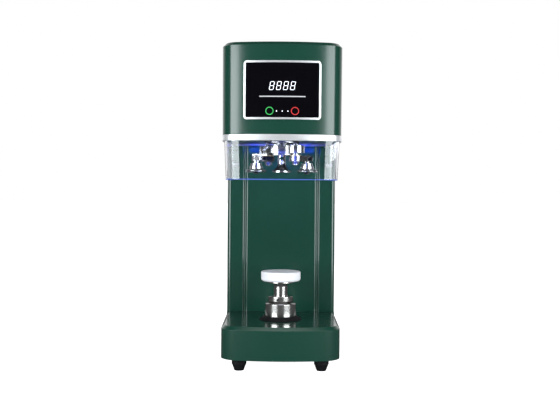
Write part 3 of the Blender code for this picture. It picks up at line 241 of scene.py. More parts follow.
@dataclass(frozen=True)
class Metal(Finish):
    """Bare or plated metal, with its tool marks."""

    lay: Lay = Lay.ROUND
    centre: Flat = (0.0, 0.0)
    marks: float = 0.03
    metallic: float = 1.0

    def about(self, x: float, y: float) -> "Metal":
        """The same metal, turned about another axis."""
        return replace(self, name=f"{self.name}_{x * 1e3:.0f}_{y * 1e3:.0f}", centre=(x, y))

    def pattern(self, graph: Graph) -> Socket:
        """The tool marks as a fine noise that is stretched along their lay."""
        if self.lay is Lay.BLASTED:
            return graph.noise(900.0, 3.0)
        if self.lay is Lay.ACROSS:
            return graph.noise(1.0, 2.0, graph.place((6.0, 700.0, 1400.0)))
        first, second = self.centre
        if self.lay is Lay.ROUND:
            across, along = graph.place((1, 1, 0), (first, second, 0.0)), 2
        else:
            across, along = graph.place((1, 0, 1), (first, 0.0, second)), 1
        radius = graph.node("VectorMath", {0: across}, operation="LENGTH").outputs["Value"]
        split = graph.node("SeparateXYZ", {0: graph.place()})
        rings = graph.node("CombineXYZ", {"X": radius, "Y": split.outputs[along]})
        return graph.noise(600.0, 1.0, rings.outputs["Vector"])

    def dress(self, graph: Graph) -> None:
        """Fill the shader: a metal whose gloss and surface follow the tool marks."""
        marks = self.pattern(graph)
        smudge = graph.noise(25.0, 3.0)
        rough = graph.between(marks, self.roughness - self.marks, self.roughness + self.marks)
        soft = graph.between(smudge, 0.0, 0.004)
        graph.set(Metallic=self.metallic, Roughness=graph.sum(rough, soft))
        graph.set(Base_Color=graph.tint(marks, tone(self.colour, 0.985), self.colour))
        graph.bump(marks, 0.004, 0.00005)


@dataclass(frozen=True)
class Zinc(Finish):
    """Zinc plating, whose crystals show as faint patches."""

    def dress(self, graph: Graph) -> None:
        """Fill the shader: patches of slightly different brightness and gloss."""
        cells = graph.node("TexVoronoi", {"Vector": graph.place(), "Scale": 90.0})
        patch = graph.node("SeparateXYZ", {0: cells.outputs["Color"]}).outputs[0]
        graph.set(Base_Color=graph.tint(patch, tone(self.colour, 0.85), tone(self.colour, 1.08)))
        graph.set(Metallic=1.0, Roughness=graph.between(patch, 0.30, 0.45, (0, 1)))
        graph.bump(graph.noise(500.0), 0.05, 0.0002)


@dataclass(frozen=True)
class Moulded(Finish):
    """Moulded plastic or rubber with a fine grain."""

    grain: float = 0.0005
    depth: float = 0.12
    shine: float = 0.4

    def dress(self, graph: Graph) -> None:
        """Fill the shader: an almost even colour over a fine grain."""
        super().dress(graph)
        graph.set(Specular_IOR_Level=self.shine)
        graph.bump(graph.noise(1 / self.grain, 3.0), self.depth, 0.0003)


@dataclass(frozen=True)
class ClearSheet(Finish):
    """Clear plastic sheet. Lamps shine through it without a shadow."""

    def dress(self, graph: Graph) -> None:
        """Fill the shader: clear plastic with the faintest waviness."""
        graph.set(Base_Color=(*self.colour, 1.0), Transmission_Weight=1.0, IOR=1.42)
        graph.set(Roughness=graph.between(graph.noise(60.0), 0.0, self.roughness))
        graph.bump(graph.noise(18.0, 1.0), 0.02, 0.0004)
        rays = graph.node("LightPath")
        open_way = graph.node("BsdfTransparent", {"Color": (*self.colour, 1.0)})
        inputs = {0: rays.outputs["Is Shadow Ray"]}
        inputs |= {1: graph.shader.outputs["BSDF"], 2: open_way.outputs["BSDF"]}
        mixed = graph.node("MixShader", inputs)
        graph.feed(graph.tree.nodes["Material Output"].inputs["Surface"], mixed.outputs["Shader"])


@dataclass(frozen=True)
class Gloss(Finish):
    """A smooth glossy surface, such as black display glass."""

    specular: float = 0.5

    def dress(self, graph: Graph) -> None:
        """Fill the shader: one colour with faint finger marks in its gloss."""
        smear = graph.noise(30.0, 4.0)
        graph.set(Base_Color=graph.tint(smear, self.colour, tone(self.colour, 1.2)))
        graph.set(Roughness=graph.between(smear, self.roughness, self.roughness + 0.05))
        graph.set(Specular_IOR_Level=self.specular)


@dataclass(frozen=True)
class Glow(Finish):
    """A surface that gives light: a real lamp, or a painted glow on a part that is no lamp."""

    strength: float = 1.0

    def dress(self, graph: Graph) -> None:
        """Fill the shader: a light that is slightly uneven across the piece."""
        uneven = graph.between(graph.noise(220.0, 1.0), 0.85, 1.0)
        graph.set(Base_Color=graph.tint(uneven, tone(self.colour, 0.6), self.colour))
        graph.set(Roughness=self.roughness, Emission_Color=(*self.colour, 1.0))
        graph.set(Emission_Strength=self.strength)


@dataclass(frozen=True)
class Circuit(Finish):
    """A circuit board: copper tracks under solder resist."""

    def dress(self, graph: Graph) -> None:
        """Fill the shader: straight tracks and pads, paler where copper lies below."""
        inputs = {"Vector": graph.place(), "Scale": 260.0}
        cells = graph.node("TexVoronoi", inputs, distance="MANHATTAN", feature="F1")
        copper = graph.between(cells.outputs["Distance"], 1.0, 0.0, (0.25, 0.3))
        graph.set(Base_Color=graph.tint(copper, self.colour, tone(self.colour, 2.4)))
        graph.set(Roughness=self.roughness)
        graph.bump(copper, 0.2, 0.0001)


GREEN = Paint("green_paint", (0.0035, 0.0345, 0.0222), 0.50, "green_paint")
STEEL = Metal("turned_steel", (0.50, 0.49, 0.48), 0.19, "polished_steel", marks=0.004)
SATIN_STEEL = Metal("satin_steel", (0.34, 0.335, 0.33), 0.22, "polished_steel", marks=0.05)
OXIDE = Metal("black_oxide", (0.022, 0.022, 0.026), 0.34, "black_oxide", lay=Lay.BLASTED)
STUD = Metal("bright_stud", (0.78, 0.79, 0.81), 0.12, "stud_steel", lay=Lay.AROUND_Y)
SPRING = Metal("spring_wire", (0.82, 0.82, 0.84), 0.20, "spring_steel", lay=Lay.BLASTED)
SILVER = Metal(
    "silver_trim", (0.86, 0.86, 0.885), 0.32, "satin_aluminium", lay=Lay.ACROSS, metallic=0.75
)
BRASS = Metal("satin_brass", (0.72, 0.50, 0.20), 0.28, "brass", lay=Lay.BLASTED)
CASTING = Metal(
    "dark_casting", (0.07, 0.07, 0.075), 0.50, "cast_aluminium", lay=Lay.BLASTED, metallic=0.4
)
ZINC = Zinc("zinc_plate", (0.52, 0.53, 0.55), 0.38, "zinc_steel")
RUBBER = Moulded("black_rubber", (0.005, 0.005, 0.006), 0.62, "black_rubber", shine=0.15)
PLASTIC = Moulded("black_plastic", (0.016, 0.016, 0.018), 0.45, "black_plastic")
ACETAL = Moulded(
    "white_acetal", (0.66, 0.66, 0.69), 0.45, "white_acetal", grain=0.0008, depth=0.04, shine=0.12
)
GUARD = ClearSheet("clear_guard", (0.95, 0.97, 1.0), 0.004, "clear_guard")
GLASS = Gloss("black_glass", (0.0018, 0.0016, 0.0024), 0.05, "black_glass", specular=0.12)
BOARD = Circuit("circuit_board", (0.012, 0.10, 0.035), 0.42, "circuit_board")
BLUE = Glow("blue_light", (0.04, 0.16, 1.0), 0.30, "blue_light", 3.0)
# Painted glow: the guard's lower edge is made to give light, standing in for the blue light carried
# along the sheet.
PAINTED_EDGE_GLOW = Glow("blue_edge", (0.05, 0.10, 0.45), 0.30, "", 0.3)
DIGIT = Glow("white_digits", (0.86, 0.88, 1.0), 0.40, "", 0.9)
# The printed marks keep their ink colours, and a painted glow is added so they stay bright whatever
# light reaches them.
GREY_PRINT_PAINTED_GLOW = Glow("grey_print", (0.36, 0.36, 0.38), 0.45, "", 0.35)
GREEN_PRINT_PAINTED_GLOW = Glow("green_print", (0.02, 0.30, 0.06), 0.45, "", 0.5)
RED_PRINT_PAINTED_GLOW = Glow("red_print", (0.38, 0.014, 0.014), 0.45, "", 0.5)
ROLLER_STEEL = replace(STEEL, name="roller_steel", roughness=0.24, marks=0.05)


def rounded(points: Sequence[Flat], radii: Sequence[float], steps: int = 5) -> list[Flat]:
    """Round the corners of an open path in a plane; its two ends stay as they are.

    Args:
        points: The path's corners.
        radii: The radius at each corner between the ends.
        steps: How many straight pieces make one arc.

    Returns:
        The path's points with arcs in place of its corners.
    """
    path = [points[0]]
    for before, corner, after, radius in zip(points, points[1:], points[2:], radii):
        here = Vector(corner)
        back = (Vector(before) - here).normalized()
        ahead = (Vector(after) - here).normalized()
        half = back.angle(ahead) / 2
        centre = here + (back + ahead).normalized() * (radius / sin(half))
        start = here + back * (radius * cos(half) / sin(half)) - centre
        turn = start.angle_signed(here + ahead * (radius * cos(half) / sin(half)) - centre)
        turns = [Matrix.Rotation(-turn * step / steps, 2) for step in range(steps + 1)]
        path += [tuple(centre + rotation @ start) for rotation in turns]
    path.append(points[-1])
    return path


def arc(centre: Flat, radius: float, start: float, end: float, steps: int) -> list[Flat]:
    """Points of an arc from one angle to another."""
    angles = (start + (end - start) * step / steps for step in range(steps + 1))
    return [(centre[0] + radius * cos(a), centre[1] + radius * sin(a)) for a in angles]


def link(first: Flat, first_radius: float, second: Flat, second_radius: float) -> list[Flat]:
    """The outline of a bar with a round end about each of two points, counter-clockwise."""
    span = hypot(second[0] - first[0], second[1] - first[1])
    heading = atan2(second[1] - first[1], second[0] - first[0])
    lean = acos((first_radius - second_radius) / span)
    near = arc(first, first_radius, heading + lean, heading + tau - lean, 24)
    return near + arc(second, second_radius, heading - lean, heading + lean, 24)


def rounded_box(half_width: float, half_height: float, radius: float, centre: Flat) -> list[Flat]:
    """A rectangle with round corners, counter-clockwise."""
    x, y = half_width - radius, half_height - radius
    points: list[Flat] = []
    for quarter, (u, v) in enumerate([(x, y), (-x, y), (-x, -y), (x, -y)]):
        corner = (centre[0] + u, centre[1] + v)
        points += arc(corner, radius, quarter * pi / 2, (quarter + 1) * pi / 2, 8)
    return points


def tube(low: float, high: float, radius: float, bore: float = 0.0) -> list[Flat]:
    """The half section of a tube, or of a cylinder where there is no bore."""
    return [(bore, low), (radius, low), (radius, high), (bore, high)]


class Piece:
    """One mesh on the bench, shaped with Blender's operators and then dressed."""

    def __init__(self, thing: bpy.types.Object) -> None:
        """Hold the object that the operators work on."""
        self.thing = thing

    @staticmethod
    def start(name: str, adder: Callable, **settings: object) -> "Piece":
        """Add a primitive while nothing else is selected."""
        bpy.ops.object.select_all(action="DESELECT")
        adder(**settings)
        piece = Piece(bpy.context.active_object)
        piece.thing.name = name
        piece.settle()
        return piece

    @classmethod
    def block(cls, name: str, low: Point, high: Point) -> "Piece":
        """A box between two corners."""
        middle = (Vector(low) + Vector(high)) / 2
        piece = cls.start(name, bpy.ops.mesh.primitive_cube_add, size=1, location=middle)
        piece.edit()
        bpy.ops.transform.resize(value=Vector(high) - Vector(low), center_override=middle)
        return piece.rest()

    @classmethod
    def trace(cls, name: str, points: Sequence[Point]) -> "Piece":
        """A chain of edges through the points, drawn by extruding one vertex."""
        piece = cls.start(name, bpy.ops.mesh.primitive_plane_add, size=0.001, location=points[0])
        piece.edit("VERT")
        bpy.ops.mesh.merge(type="CENTER")
        bpy.ops.mesh.select_all(action="SELECT")
        for start, end in zip(points, points[1:]):
            step = Vector(end) - Vector(start)
            bpy.ops.mesh.extrude_region_move(TRANSFORM_OT_translate={"value": step})
        return piece.rest()

    @classmethod
    def plate(
        cls, name: str, outline: Sequence[Flat], low: float, high: float, plane: str = "XY"
    ) -> "Piece":
        """A straight-sided solid over an outline.

        Args:
            name: The piece's name.
            outline: The outline's points, in the plane's own two axes.
            low: Where the solid starts along the third axis.
            high: Where it ends.
            plane: XY, XZ or YZ.

        Returns:
            The closed solid.
        """
        spots = {
            "XY": lambda u, v, w: (u, v, w), "XZ": lambda u, v, w: (u, w, v),
            "YZ": lambda u, v, w: (w, u, v),
        }
        spot = spots[plane]
        piece = cls.trace(name, [spot(u, v, low) for u, v in outline])
        piece.edit("VERT")
        bpy.ops.mesh.edge_face_add()
        bpy.ops.mesh.select_all(action="SELECT")
        piece.extrude(Vector(spot(0, 0, high - low)))
        return piece.outward().rest()

    @classmethod
    def lathe(
        cls,
        name: str,
        profile: Sequence[Flat],
        at: Flat = (0.0, 0.0),
        soften: float = 0.0,
        facets: int = FACETS,
        along: str = "Z",
    ) -> "Piece":
        """A turned solid.

        Args:
            name: The piece's name.
            profile: Its half section as radius and height; it is closed, or ends on the axis.
            at: Where the axis stands, in the plane across it.
            soften: How far the profile's corners are rounded.
            facets: How many flats make a full turn.
            along: The axis it turns about: Z, or Y for a piece that points to the front.

        Returns:
            The closed solid, in its place.
        """
        piece = cls.trace(name, [(radius, 0, height) for radius, height in profile])
        piece.edit("VERT")
        if min(profile[0][0], profile[-1][0]) > TINY:
            ends = [Vector((radius, 0, height)) for radius, height in (profile[0], profile[-1])]
            piece.select(lambda at, _: min((at - end).length for end in ends) < TINY, "VERT")
            bpy.ops.mesh.edge_face_add()
        if soften:
            piece.select(lambda co, _: co.x > TINY, "VERT")
            bpy.ops.mesh.bevel(offset=soften, segments=2, affect="VERTICES")
        bpy.ops.mesh.select_all(action="SELECT")
        bpy.ops.mesh.spin(steps=facets, angle=tau, center=(0, 0, 0), axis=(0, 0, 1))
        bpy.ops.mesh.select_all(action="SELECT")
        bpy.ops.mesh.remove_doubles(threshold=1e-6)
        piece.outward()
        if along == "Y":
            bpy.ops.transform.rotate(value=pi / 2, orient_axis="X", center_override=(0, 0, 0))
            piece.shift((at[0], 0, at[1]))
        else:
            piece.shift((*at, 0))
        return piece.rest()

    @classmethod
    def copy_of_node(cls, name: str, node: str) -> "Piece":
        """A merged copy of a CAD node, with its flat faces made whole."""
        thing = bpy.data.objects.new(name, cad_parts[node].data.copy())
        bpy.context.scene.collection.objects.link(thing)
        piece = cls(thing)
        piece.edit("VERT")
        bpy.ops.mesh.remove_doubles(threshold=1e-6)
        bpy.ops.mesh.select_all(action="SELECT")
        bpy.ops.mesh.dissolve_limited(angle_limit=radians(1))
        return piece.rest()

    def alone(self) -> "Piece":
        """Make this the only selected object, and the active one."""
        if bpy.context.mode != "OBJECT":
            bpy.ops.object.mode_set(mode="OBJECT")
        bpy.ops.object.select_all(action="DESELECT")
        self.thing.select_set(True)
        bpy.context.view_layer.objects.active = self.thing
        return self

    def edit(self, kind: str = "FACE") -> "Piece":
        """Go into edit mode with everything selected."""
        self.alone()
        bpy.ops.object.mode_set(mode="EDIT")
        bpy.ops.mesh.select_mode(type=kind)
        bpy.ops.mesh.select_all(action="SELECT")
        return self

    def rest(self) -> "Piece":
        """Go back to object mode."""
        bpy.ops.object.mode_set(mode="OBJECT")
        return self

    def settle(self) -> None:
        """Put the object's place into its mesh."""
        self.alone()
        bpy.ops.object.transform_apply(location=True, rotation=True, scale=True)

    def select(self, test: Test, kind: str = "FACE") -> "Piece":
        """Select vertices, edges or faces in edit mode.

        Args:
            test: Takes a place and a direction: a vertex's or face's normal, or an edge's heading.
            kind: VERT, EDGE or FACE.

        Returns:
            The piece, in edit mode.
        """
        self.alone()
        bpy.ops.object.mode_set(mode="EDIT")
        bpy.ops.mesh.select_mode(type=kind)
        bpy.ops.mesh.select_all(action="DESELECT")
        bpy.ops.object.mode_set(mode="OBJECT")
        mesh = self.thing.data
        if kind == "FACE":
            for face in mesh.polygons:
                face.select = test(face.center, face.normal)
        elif kind == "VERT":
            for vertex in mesh.vertices:
                vertex.select = test(vertex.co, vertex.normal)
        else:
            for edge in mesh.edges:
                first, second = (mesh.vertices[i].co for i in edge.vertices)
                edge.select = test((first + second) / 2, (second - first).normalized())
        bpy.ops.object.mode_set(mode="EDIT")
        return self

    def extrude(self, move: Triple) -> "Piece":
        """Extrude what is selected and move it."""
        bpy.ops.mesh.extrude_region_move(TRANSFORM_OT_translate={"value": tuple(move)})
        return self

    def shift(self, move: Triple) -> "Piece":
        """Move what is selected in edit mode."""
        bpy.ops.transform.translate(value=tuple(move))
        return self

    def scale(self, factors: Triple, centre: Triple) -> "Piece":
        """Scale what is selected in edit mode about a centre."""
        bpy.ops.transform.resize(value=tuple(factors), center_override=tuple(centre))
        return self

    def bevel(self, width: float, segments: int = 1) -> "Piece":
        """Bevel the selected edges."""
        bpy.ops.mesh.bevel(offset=width, segments=segments, affect="EDGES")
        return self

    def delete(self, kind: str = "FACE") -> "Piece":
        """Delete what is selected in edit mode."""
        bpy.ops.mesh.delete(type=kind)
        return self

    def outward(self) -> "Piece":
        """Turn every face outwards, in edit mode."""
        bpy.ops.mesh.select_all(action="SELECT")
        bpy.ops.mesh.normals_make_consistent(inside=False)
        return self

    def modify(self, kind: str, **settings: object) -> "Piece":
        """Add a modifier, and apply it."""
        self.alone()
        bpy.ops.object.modifier_add(type=kind)
        modifier = self.thing.modifiers[-1]
        for key, value in settings.items():
            setattr(modifier, key, value)
        bpy.ops.object.modifier_apply(modifier=modifier.name)
        return self

    def wall(self, thickness: float) -> "Piece":
        """Give an open shell its wall, inwards."""
        self.edit().outward().rest()
        return self.modify("SOLIDIFY", thickness=thickness, offset=-1, use_even_offset=True)

    def soften(self, width: float, segments: int = 2, above: float = 30.0) -> "Piece":
        """Round every edge that is sharper than an angle in degrees."""
        settings = {"width": width, "segments": segments, "angle_limit": radians(above)}
        return self.modify("BEVEL", limit_method="ANGLE", miter_outer="MITER_ARC", **settings)

    def discard(self) -> None:
        """Take the piece off the bench."""
        bpy.data.objects.remove(self.thing, do_unlink=True)

    def join(self, *others: "Piece", name: str) -> "Piece":
        """Join other pieces into this one as separate solids, under a name."""
        self.alone()
        for other in others:
            other.thing.select_set(True)
        bpy.ops.object.join()
        self.thing.name = name
        return self

    def combine(self, *tools: "Piece", by: str = "DIFFERENCE") -> "Piece":
        """Cut, unite or intersect with other pieces, which are used up."""
        for tool in tools:
            self.modify("BOOLEAN", operation=by, solver="EXACT", object=tool.thing)
            tool.discard()
            self.edit("VERT")
            bpy.ops.mesh.remove_doubles(threshold=2e-6)
            bpy.ops.mesh.dissolve_degenerate(threshold=1e-6)
            self.rest()
        return self

    def drill(self, radius: float, low: float, high: float, at: Flat, facets: int = 6) -> "Piece":
        """Cut an upright hole between two heights: a hexagon socket unless told otherwise."""
        return self.combine(Piece.lathe("drill", tube(low, high, radius), at, facets=facets))

    def copied(self, name: str, at: Triple = (0, 0, 0), facing: Triple = UP) -> "Piece":
        """A copy with its own mesh, turned from +Z to a direction and moved to a place."""
        self.alone()
        bpy.ops.object.duplicate(linked=False)
        piece = Piece(bpy.context.active_object)
        piece.thing.name = name
        turn = Vector(facing).to_track_quat("Z", "Y").to_matrix().to_4x4()
        piece.thing.matrix_world = Matrix.Translation(at) @ turn
        piece.settle()
        return piece

    def spread(self, name: str, places: Iterable[Triple], facing: Triple = UP) -> "Piece":
        """Copies at several places, joined as one piece; the pattern itself is used up."""
        first, *others = [self.copied(f"{name}_{i}", at, facing) for i, at in enumerate(places)]
        self.discard()
        return first.join(*others, name=name)

    def dress(
        self, finish: Finish, body: str = "machine", nodes: Sequence[str] = (), smooth: float = 32.0
    ) -> None:
        """Give the piece its finish and fasten it to a body.

        Args:
            finish: The finish of its whole surface.
            body: The CAD body that it moves with.
            nodes: The CAD nodes that it stands for.
            smooth: Edges below this angle in degrees are shaded smooth.
        """
        self.settle()
        self.thing.data.materials.clear()
        self.thing.data.materials.append(finish.material())
        bpy.ops.object.shade_smooth_by_angle(angle=radians(smooth))
        self.modify("WEIGHTED_NORMAL", mode="FACE_AREA", weight=50, keep_sharp=True)
        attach(self.thing, body)
        if nodes:
            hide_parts(*nodes)
        log.info("%s: %d faces, on %s", self.thing.name, len(self.thing.data.polygons), body)


def socket_screw(radius: float, height: float) -> Piece:
    """A socket cap screw's head, standing on the origin with its hexagon socket up."""
    head = Piece.lathe("socket_screw", tube(0, height, radius), soften=radius * 0.12, facets=32)
    return head.drill(radius * 0.55, height * 0.4, height * 2, (0, 0))


def cross_screw(radius: float, height: float) -> Piece:
    """A pan-head screw with a cross recess, standing on the origin."""
    dome = [(0, 0), (radius, 0), (radius, height * 0.35)]
    dome += [(radius * cos(a), height * (0.35 + 0.65 * sin(a))) for a in (0.35, 0.7, 1.05)]
    head = Piece.lathe("cross_screw", dome + [(0, height)], facets=32)
    long, thin = radius * 0.55, radius * 0.13
    for half_x, half_y in ((long, thin), (thin, long)):
        slot = Piece.block("cross", (-half_x, -half_y, height * 0.45), (half_x, half_y, height * 2))
        head.combine(slot)
    return head


@dataclass(frozen=True)
class BodyOutline:
    """The body seen from above: a bowed front between two round corners, and a flat rear."""

    half_width: float
    front: float
    rear: float
    bow: float = 0.450
    corner: float = 0.040
    rear_corner: float = 0.015

    @classmethod
    def of_base(cls) -> "BodyOutline":
        """The outline that the base, the band and the head share."""
        box = Span.of("base_housing")
        return cls(box.size.x / 2, box.low.y, box.high.y)

    def inset(self, distance: float) -> "BodyOutline":
        """The same outline moved in by a distance."""
        return BodyOutline(
            self.half_width - distance, self.front + distance, self.rear - distance,
            self.bow - distance, self.corner - distance, self.rear_corner - distance,
        )

    def front_path(self, bow_steps: int = 16, corner_steps: int = 14) -> list[Flat]:
        """The points from the left side round the front to the right side."""
        centre_x = self.half_width - self.corner
        bow_y = self.front + self.bow
        centre_y = bow_y - sqrt((self.bow - self.corner) ** 2 - centre_x**2)
        meet = atan2(centre_x, bow_y - centre_y)
        right = arc((0, bow_y), self.bow, -pi / 2, meet - pi / 2, bow_steps)[:-1]
        right += arc((centre_x, centre_y), self.corner, meet - pi / 2, 0, corner_steps)
        return [(-x, y) for x, y in reversed(right[1:])] + right

    def points(self, stations: Sequence[float] = ()) -> list[Flat]:
        """The closed outline, with extra points where asked on both sides."""
        centre = (self.half_width - self.rear_corner, self.rear - self.rear_corner)
        right = [(self.half_width, y) for y in stations]
        right += arc(centre, self.rear_corner, 0, pi / 2, 8)
        return self.front_path() + right + [(-x, y) for x, y in reversed(right)]


@dataclass
class Base:
    """The base housing, its bottom plate, the feet and the screws under it."""

    outline: BodyOutline
    chamfer: float = 0.007
    wall: float = 0.003
    foot_recess: float = 0.0045

    def build(self) -> None:
        """Build the base from the housing down to the feet."""
        self.housing()
        self.bottom()
        self.feet()

    def housing(self) -> None:
        """The painted shell, chamfered along its top in front of the column."""
        box = Span.of("base_housing")
        column = Span.of("column_front_panel").low.y
        frame_box = Span.of("column_frame")
        plunger = Span.of("plunger_guide")
        stations = (column - CLEAR, column)
        shell = Piece.plate("base_shell", self.outline.points(stations), box.low.z, box.high.z)
        top = box.high.z - TINY
        shell.select(lambda at, _: at.z > top and at.y < column - CLEAR - TINY, "EDGE")
        shell.bevel(self.chamfer)
        shell.select(lambda _, normal: normal.z < -0.9).delete().rest()
        shell.wall(self.wall).soften(0.0011)
        low, high = box.high.z - 0.02, box.high.z + 0.02
        room = Vector((0.001, 0.001))
        start, end = frame_box.low.xy - room, frame_box.high.xy + room
        opening = Piece.block("frame_opening", (*start, low), (*end, high))
        hole = Span.of("lift_plunger").radius + 0.0075
        shell.combine(opening).drill(hole, low, high, plunger.centre.xy, FACETS)
        shell.dress(GREEN, nodes=["base_housing"])

    def bottom(self) -> None:
        """The bottom plate and the screws that hold it."""
        plate = Piece.copy_of_node("bottom_plate", "base_plate").soften(0.0005, 1)
        plate.dress(ZINC, nodes=["base_plate"])
        box = Span.of("base_plate")
        columns = (box.low.x + 0.012, box.high.x - 0.012)
        places = [(x, y, box.low.z + 0.0002) for x in columns for y in (-0.12, 0.0, 0.12)]
        cross_screw(0.0038, 0.0022).spread("bottom_screws", places, DOWN).dress(ZINC)

    def feet(self) -> None:
        """Four tapered rubber feet, each with a recess and its screw."""
        screw = socket_screw(0.0036, 0.003)
        for corner in ("front_left", "front_right", "rear_left", "rear_right"):
            box = Span.of(f"foot_{corner}")
            radius, tip, top = box.radius, 0.010, box.high.z
            profile = [
                (0, self.foot_recess), (tip * 0.55, self.foot_recess), (tip * 0.6, 0), (tip, 0),
                (radius - 0.0008, top * 0.52), (radius, top * 0.56), (radius, top - 0.004),
                (radius - 0.0008, top - 0.0035), (radius - 0.0008, top - 0.0025),
                (radius, top - 0.002), (radius, top), (0, top),
            ]
            at = box.centre.xy
            foot = Piece.lathe(f"rubber_foot_{corner}", profile, at, 0.0005)
            foot.dress(RUBBER, nodes=[f"foot_{corner}"])
            sunk = (*at, self.foot_recess + 0.0002)
            screw.copied(f"foot_screw_{corner}", sunk, DOWN).dress(ZINC)
        screw.discard()


@dataclass
class Column:
    """The bent covers of the column and the studs that the guard hangs on."""

    sheet: float = 0.002
    roll: float = 0.005
    corner: float = 0.008
    rear_corner: float = 0.015
    flange: float = 0.024

    def build(self) -> None:
        """Build both side covers and the panel between them."""
        self.side_covers()
        self.front_panel()
        self.beads()
        self.studs()

    def bent(self, name: str, corners: Sequence[Flat], radii: Sequence[float], box: Span) -> Piece:
        """A bent sheet as high as a box, with its wall inside its path."""
        path = rounded(corners, radii, 7)
        sheet = Piece.trace(name, [(x, y, box.low.z) for x, y in path])
        sheet.edit("EDGE").extrude((0, 0, box.high.z - box.low.z)).rest()
        return sheet.wall(self.sheet)

    def side_covers(self) -> None:
        """The two side covers, from the groove round to the rear flange."""
        for side, name in SIDES:
            box = Span.of(f"column_cover_{name}")
            inner = box.low.x if side > 0 else box.high.x
            outer = box.high.x if side > 0 else box.low.x
            corners = [
                (inner, box.low.y + 0.014), (inner, box.low.y), (outer, box.low.y),
                (outer, box.high.y), (outer - side * self.flange, box.high.y),
            ]
            if side < 0:
                corners.reverse()
            radii = [self.roll, self.corner, self.rear_corner]
            cover = self.bent(f"side_cover_{name}", corners, radii[::side], box)
            cover.dress(GREEN, nodes=[f"column_cover_{name}"])

    def beads(self) -> None:
        """A slim painted bead that closes each groove, just behind the rolled edges."""
        panel = Span.of("column_front_panel")
        for side, name in SIDES:
            cover = Span.of(f"column_cover_{name}")
            gap = (panel.high.x, cover.low.x) if side > 0 else (cover.high.x, panel.low.x)
            middle, radius = sum(gap) / 2, (gap[1] - gap[0]) / 2 + 0.0006
            outline = arc((middle, panel.low.y + 0.0022 + radius), radius, pi, tau, 16)
            outline += [(middle + way * radius, panel.low.y + 0.008) for way in (1, -1)]
            bead = Piece.plate(f"groove_bead_{name}", outline, panel.low.z, panel.high.z)
            bead.dress(GREEN)

    def front_panel(self) -> None:
        """The panel between the grooves, with both edges rolled back."""
        box = Span.of("column_front_panel")
        left, right, front, back = box.low.x, box.high.x, box.low.y, box.high.y
        corners = [(left, back), (left, front), (right, front), (right, back)]
        panel = self.bent("front_panel", corners, [self.roll, self.roll], box)
        panel.dress(GREEN, nodes=["column_front_panel"])

    def studs(self) -> None:
        """The two bright studs with hexagon sockets that hold the guard."""
        for side in ("left", "right"):
            box = Span.of(f"guard_stud_{side}")
            radius, length = box.size.x / 2, box.size.y
            profile = [
                (0, 0), (radius * 0.62, 0), (radius * 0.62, length * 0.55), (radius, length * 0.55),
                (radius, length * 0.86), (radius * 0.8, length), (0, length),
            ]
            stud = Piece.lathe(f"bright_stud_{side}", profile, soften=0.0004, facets=48)
            stud.drill(0.0022, length * 0.7, length * 2, (0, 0))
            x, _, z = box.centre
            placed = stud.copied(f"guard_fixing_{side}", (x, box.high.y, z), FRONT)
            stud.discard()
            finish = replace(STUD, name=f"bright_stud_{side}", centre=(x, z))
            placed.dress(finish, nodes=[f"guard_stud_{side}"])


@dataclass
class Head:
    """The head cover, the trim band under it and the light under the head plate."""

    outline: BodyOutline
    chamfer: float = 0.007
    wall: float = 0.003
    band_wall: float = 0.0035
    window_corner: float = 0.0073
    lamps: int = 12

    def build(self) -> None:
        """Build the head from the cover down."""
        self.cover()
        self.band()
        self.light()

    def cover(self) -> None:
        """The painted cover, slightly wider at its chamfered top, with the panel's window."""
        box = Span.of("head_cover")
        panel = Span.of("panel_frame")
        cover = Piece.plate("head_shell", self.outline.points(), box.low.z, box.high.z)
        top = box.high.z - TINY
        flare = box.size.x / 2 / self.outline.half_width
        cover.select(lambda at, _: at.z > top, "VERT").scale((flare, 1, 1), (0, 0, top))
        cover.select(lambda at, _: at.z > top, "EDGE").bevel(self.chamfer)
        cover.select(lambda _, normal: normal.z < -0.9).delete().rest()
        cover.wall(self.wall)
        half_width, half_height = panel.size.x / 2 + CLEAR, panel.size.z / 2 + CLEAR
        window = rounded_box(half_width, half_height, self.window_corner, (0, panel.centre.z))
        cover.combine(Piece.plate("window", window, box.low.y - PAST, box.low.y + 0.04, "XZ"))
        cover.soften(0.0016, 3).dress(GREEN, nodes=["head_cover"])
        rows = (box.low.z + 0.02, box.high.z - 0.03)
        places = [(x, box.high.y - 0.0023, z) for x in (-0.095, 0.095) for z in rows]
        cross_screw(0.0042, 0.0024).spread("head_screws", places, BACK).dress(ZINC)

    def band(self) -> None:
        """The silver band between the head and the guard, with rounded edges."""
        box = Span.of("trim_band")
        proud = self.outline.front - box.low.y
        outline = self.outline.inset(-proud).points()
        band = Piece.plate("silver_band", outline, box.low.z, box.high.z)
        band.select(lambda _, normal: abs(normal.z) > 0.9).delete("ONLY_FACE").rest()
        band.wall(self.band_wall).soften(0.0013, 3, 50).dress(SILVER, nodes=["trim_band"])

    def light(self) -> None:
        """The blue light bar: a black channel, a strip and its row of lamps, facing the rear."""
        box = Span.of("led_bar")
        low, high = box.low.z, box.high.z
        profile = [
            (box.high.y, high), (box.low.y, high), (box.low.y, low), (box.low.y + 0.001, low),
            (box.low.y + 0.001, high - 0.001), (box.high.y, high - 0.001),
        ]
        channel = Piece.plate("light_channel", profile, box.low.x, box.high.x, "YZ")
        channel.soften(0.0002, 1).dress(PLASTIC, nodes=["led_bar"])
        strip = Piece.block(
            "light_strip", (box.low.x + 0.001, box.low.y + 0.0014, high - 0.0019),
            (box.high.x - 0.001, box.high.y - 0.0004, high - 0.0013),
        )
        strip.soften(0.0002, 1).dress(BOARD)
        lamp_profile = [(0, 0), (0.0019, 0), (0.0019, 0.0010), (0.0012, 0.0017), (0, 0.0019)]
        lamp = Piece.lathe("lamp", lamp_profile, soften=0.0002, facets=24)
        pitch = box.size.x / self.lamps
        stations = [box.low.x + pitch * (i + 0.5) for i in range(self.lamps)]
        places = [(x, box.centre.y + 0.0005, high - 0.0020) for x in stations]
        lamp.spread("blue_lamps", places, DOWN).dress(BLUE)


